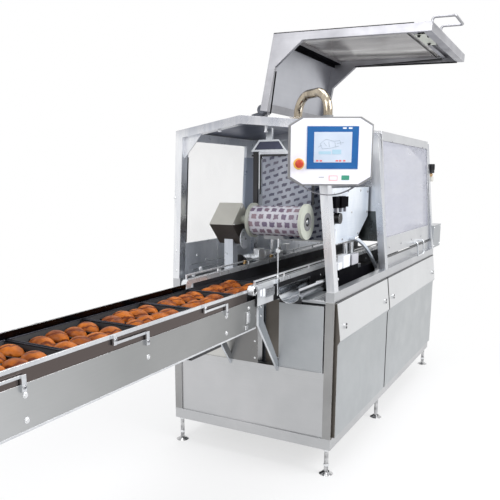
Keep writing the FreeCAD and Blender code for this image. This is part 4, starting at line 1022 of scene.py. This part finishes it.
def bay_details():
    """Drives and blocks seen past the reel, at the far side of the lane."""
    drawn("far_window_seal", "satin black",
          [(1013.8, 1270), (1010.5, 1270), (986.2, 1780), (989.5, 1780)], (98, 106))
    blocks("drive_blocks", "mirror white",
           [((505, 586), (712, 752), (1124, 1202)), ((914, 968), (700, 736), (1128, 1198)),
            ((610, 700), (716, 752), (1122, 1180))], bevel=3.0)
    rods("drive_shafts", "polished steel",
         [((366, 777, 1128), (660, 777, 1128), 46), ((300, 777, 1060), (860, 777, 1060), 30)],
         sides=32)
    blocks("drive_feet", "dark steel",
           [((400, 460), (744, 810), (1000, 1092)), ((560, 640), (700, 812), (1000, 1126)),
            ((930, 990), (700, 800), (1000, 1130)), ((690, 912), (760, 800), (1020, 1100))],
           bevel=2.0)
    rods("drive_ends", "satin black", [((352, 777, 1128), (372, 777, 1128), 50),
                                       ((654, 777, 1128), (676, 777, 1128), 50)], sides=32)
    rods("lane_knobs", "brass", [((262, 686, 1136), (262, 686, 1158), 12),
                                 ((634, 686, 1136), (634, 686, 1156), 14)])
    blocks("lane_blocks", "mirror white", [((742, 812), (680, 700), (1131, 1166)),
                                           ((-60, -44), (684, 694), (1131, 1150))], bevel=2.0)
    fasteners("far_wall_bolts", [((x, 983, z), (0, -1, 0)) for x, z in
                                 ((528, 1145), (286, 1141), (180, 1180), (700, 1200),
                                  (1210, 1150), (1640, 1150), (2100, 1150))], 8, 5)
    blocks("far_wall_lines", "bright bolt",
           [((110, 700), (980, 983.5), (1128, 1132)), ((424, 428), (981, 983.5), (1060, 1240)),
            ((110, 700), (970, 976.5), (1096, 1100))], bevel=0.5)
    rods("far_knob", "white block", [((199, 976, 1092), (199, 962, 1092), 15),
                                     ((90, 960, 1070), (90, 948, 1070), 13)])


def station_details():
    blocks("station_connectors", "black plastic",
           [((282, 345), (112, 138.5), (1488, 1553)), ((368, 440), (108, 138.5), (1486, 1554)),
            ((446, 500), (112, 138.5), (1490, 1550))], bevel=2.0)
    rods("connector_glands", "dark bolt",
         [((x, 124, 1490), (x, 124, 1462), 8) for x in (315, 394, 470)])
    rods("station_conduit", "bright bolt", [((356, 128, 1560), (356, 128, 1462), 5)])
    blocks("station_gauge", "white block",
           [((404, 520), (96, 136), (1130, 1205)), ((340, 404), (104, 136), (1126, 1168))],
           bevel=2.5)
    blocks("station_filter", "mark grey", [((566, 690), (98, 136), (1128, 1196))], bevel=4.0)
    blocks("station_block", "black plastic", [((352, 706), (104, 150), (1089, 1131))], bevel=3.0)
    blocks("station_valves", "dark steel", [((720, 800), (116, 170), (1089, 1114))], bevel=2.0)
    blocks("station_bar", "white block", [((352, 362), (133, 138.5), (1284, 1366))])
    rods("station_dot", "white block", [((352, 110.5, 1072), (352, 107, 1072), 8)])
    rods("knob_neck", "dark bolt", [((326, 139, 1430), (326, 130, 1430), 38)], sides=40)
    fasteners("station_screws", [((x, 138, z), (0, -1, 0)) for x, z in
                                 ((318, 1570), (560, 1580), (800, 1580), (950, 1570),
                                  (950, 1440), (770, 1312), (480, 1295), (640, 1450))], 6, 4,
              material="dark bolt")
    blocks("ledge_mat", "grey mat", [((70, 960), (44, 108), (999.5, 1003))])
    fasteners("strap_pivot", [((612, 94, 1292), (0, -1, 0))], 8, 6)
    fasteners("head_screws", [((x, 178, z), (0, -1, 0)) for x in (712, 908)
                              for z in (1272, 1538)], 7, 5)


def portal_details():
    spots = [((0, 1020, z), (-1, 0, 0)) for z in (1541, 1224, 1101)]
    spots += [((2486, 1020, z), (1, 0, 0)) for z in (1101, 1500, 1800)]
    fasteners("portal_bolts", spots, 6, 3.5)


UPPER_RUN, LOWER_RUN = 57, 775


def hood_details():
    closed = [(x, UPPER_RUN) for x in (1291, 1609, 1917, 2225)]
    closed += [(x, LOWER_RUN) for x in (1153, 1471, 1789, 2107)]
    fasteners("closed_hood_screws", [((x, run, 0), (0, 0, -1)) for x, run in closed], 6, 3,
              place=on_closed_hood, body="outfeed_hood", material="dark bolt", sides=12)
    opened_spots = [(x, run) for x in (200, 518, 836) for run in (UPPER_RUN, LOWER_RUN)]
    fasteners("open_hood_screws", [((x, run, 0), (0, 0, -1)) for x, run in opened_spots], 6, 3,
              place=on_open_hood, body="infeed_hood", material="dark bolt", sides=12)
    fasteners("lock_knobs", [((x, y, 2355.5), (0.0, 0.04, -1)) for x, y in
                             ((237, -313), (262, -356), (452, -318), (478, -358))], 8, 9,
              body="infeed_hood", material="satin black", sides=16, top=0.8, washer=1.2)
    blocks("lock_backing", "cream plastic", [((222, 505), (702, 808), (21.5, 24))],
           "infeed_hood", 1.0, on_open_hood)
    blocks("open_hood_seals", "satin black",
           [((92, 923), (-262, -258), (2364, 2371)), ((923, 931), (-290, 245), (2352, 2360))],
           "infeed_hood", bevel=1.0)
    seals = Piece()
    seals.prism([(349, 2384), (392, 2384.5), (395, 2364), (391, 2363), (389, 2380), (349, 2380)],
                (92, 943))
    seals.prism([(-372, 2333), (245, 2358), (245, 2362.5), (-372, 2337.5)], (943, 969))
    seals.prism([(-328, 2378), (409, 2408), (409, 2412), (-328, 2382)], (65.3, 70))
    seals.prism([(389, 2217), (397, 2217), (428, 2000), (420, 2000)], (65.3, 67))
    seals.done("open_hood_edges", "black plastic", "infeed_hood")
    rods("hinge_cover", "dark steel", [((67, 482, 2026), (100, 482, 2026), 26)], "infeed_hood",
         32)
    drawn("roof_leg_seal", "satin black", [(150, 1955), (430, 1984), (430, 1976), (152, 1947)],
          (92, 100), "infeed_hood", 1.0, opened)
    blocks("hood_edge_seal", "dark steel", [((66, 70), (60, 640), (-1.2, 0.5))],
           "infeed_hood", 0.0, on_open_hood)


REGULATOR_X, REGULATOR_Y = 2526, 67


def outfeed_details():
    blocks("outfeed_box_lid", "ledge steel", [((2484, 2773), (2, 266), (1250, 1253))], bevel=1.0)
    fasteners("outfeed_box_screws",
              [((x, 4, z), (0, -1, 0)) for x in (2506, 2750) for z in (1075, 1232)]
              + [((2771, y, z), (1, 0, 0)) for y in (24, 244) for z in (1075, 1232)], 5, 3)
    turned("regulator_knob", "satin black", (REGULATOR_X, REGULATOR_Y, 1779),
           (REGULATOR_X, REGULATOR_Y, 1702),
           [(0, 22), (4, 26), (46, 27), (50, 24), (58, 22)], 20)
    rods("regulator_fittings", "brass",
         [((start, REGULATOR_Y, 1688), (end, REGULATOR_Y, 1688), radius)
          for start, end, radius in ((2490, 2556, 8), (2548, 2560, 11))])
    ribs = [(REGULATOR_X + 27 * math.cos(a), REGULATOR_Y + 27 * math.sin(a), 1750)
            for a in [i * math.pi / 9 for i in range(18)]]
    slats("knob_ribs", ribs, (2.5, 2.5, 42), "black plastic")


def shell_details():
    """Screws and seams on the sides that the photograph doesn't show."""
    rows = (240, 600, 978)
    for name, spots in (
            ("far_panel_screws", [((x, 1036, z), (0, 1, 0))
                                  for x in (84, 480, 860, 1130, 1740, 2400) for z in rows]),
            ("outfeed_panel_screws", [((2478, y, z), (1, 0, 0))
                                      for y in (74, 522, 970) for z in rows]),
            ("far_guard_screws", [((x, 1044, z), (0, 1, 0))
                                  for x in (84, 560, 952, 1058, 1730, 2402)
                                  for z in (1080, 1900)])):
        fasteners(name, spots, 5, 3, sides=12)
    blocks("panel_back_seam", "mark grey", [((8, 13), (-150, -146), (20, 300)),
                                            ((8, 13), (146, 150), (20, 300))],
           "control_panel", place=on_panel)
    fasteners("panel_back_screws", [((12, y, z), (1, 0, 0)) for y in (-165, 135)
                                    for z in (30, 290)], 4, 3, place=on_panel,
              body="control_panel", sides=12)


CORNER_FEET = [(x, y) for x in (30.0, 2456.0) for y in (30.0, 1014.0)]


def feet_details():
    """Locknuts under the cabinet's corners and nuts on the pads below them."""
    nuts = Piece()
    for x, y in CORNER_FEET:
        nuts.turned((x, y, 154), (x, y, 0), [(0, 17), (3, 19), (13, 19), (16, 17)], 6)
        nuts.turned((x, y, 60), (x, y, 0), [(0, 15), (2, 16), (12, 16), (14, 15)], 6)
    nuts.done("foot_nuts", "bright bolt")


tray_rims()
conveyor_details()
transport_details()
infeed_details()
film_details()
bay_details()
station_details()
portal_details()
hood_details()
outfeed_details()
shell_details()
feet_details()


# Floor, light and background
def seen_rays(tree):
    """1 for the rays by which the camera, metal and glass see a surface."""
    path = put(tree, "ShaderNodeLightPath").outputs
    seen = path["Is Camera Ray"]
    for name in ("Is Glossy Ray", "Is Transmission Ray"):
        seen = number(tree, "MAXIMUM", seen, path[name])
    return seen


def stage_floor():
    """Pale floor that glows to white away from the machine and takes shadows near it."""
    mesh = bpy.data.meshes.new("floor")
    left, right, side, height = -13.5, 14.5, 14.0, -0.002
    corners = [(left, -side, height), (right, -side, height), (right, side, height),
               (left, side, height)]
    mesh.from_pydata(corners, [], [(0, 1, 2, 3)])
    floor = bpy.data.objects.new("floor", mesh)
    bpy.context.scene.collection.objects.link(floor)
    tree, shader, place = start_material("pale floor")
    feed(tree, shader, {"Base Color": (0.86, 0.86, 0.87, 1), "Roughness": 0.7})
    away = vector(tree, "DISTANCE", place, (0.6, 0.5, 0), result="Value")
    far = remap(tree, away, 1.2, 3.2, 0.66, 1.0, "SMOOTHSTEP")
    glow = put(tree, "ShaderNodeEmission").outputs[0]
    share = number(tree, "MULTIPLY", far, seen_rays(tree))
    mix = put(tree, "ShaderNodeMixShader", {0: share, 1: shader.outputs[0], 2: glow})
    output = next(n for n in tree.nodes if n.type == "OUTPUT_MATERIAL")
    feed(tree, output, {"Surface": mix.outputs[0]})
    paint(mesh, "pale floor")


def area_lamp(name, place, target, size, power):
    data = bpy.data.lights.new(name, "AREA")
    data.shape = "RECTANGLE"
    data.size, data.size_y = size
    data.energy = power
    lamp = bpy.data.objects.new(name, data)
    bpy.context.scene.collection.objects.link(lamp)
    lamp.location = place
    aim = Vector(target) - Vector(place)
    lamp.rotation_euler = aim.to_track_quat("-Z", "Y").to_euler()


def studio():
    stage_floor()
    area_lamp("key lamp", (0.5, -4.5, 4.5), (1.0, 0.4, 1.0), (4.0, 3.0), 260)
    area_lamp("end lamp", (-4.5, 0.5, 4.0), (0.0, 0.4, 1.0), (3.0, 3.0), 110)
    area_lamp("top lamp", (1.0, 0.5, 6.0), (1.0, 0.5, 1.0), (4.0, 4.0), 160)
    world = bpy.data.worlds.new("studio")
    bpy.context.scene.world = world
    world.use_nodes = True
    tree = world.node_tree
    tree.nodes.clear()
    ambient = put(tree, "ShaderNodeBackground", {"Color": (0.95, 0.97, 1.0, 1),
                                                 "Strength": 0.55})
    white = put(tree, "ShaderNodeBackground", {"Color": (1, 1, 1, 1), "Strength": 1.0})
    mix = put(tree, "ShaderNodeMixShader",
              {0: seen_rays(tree), 1: ambient.outputs[0], 2: white.outputs[0]})
    put(tree, "ShaderNodeOutputWorld", {"Surface": mix.outputs[0]})


studio()
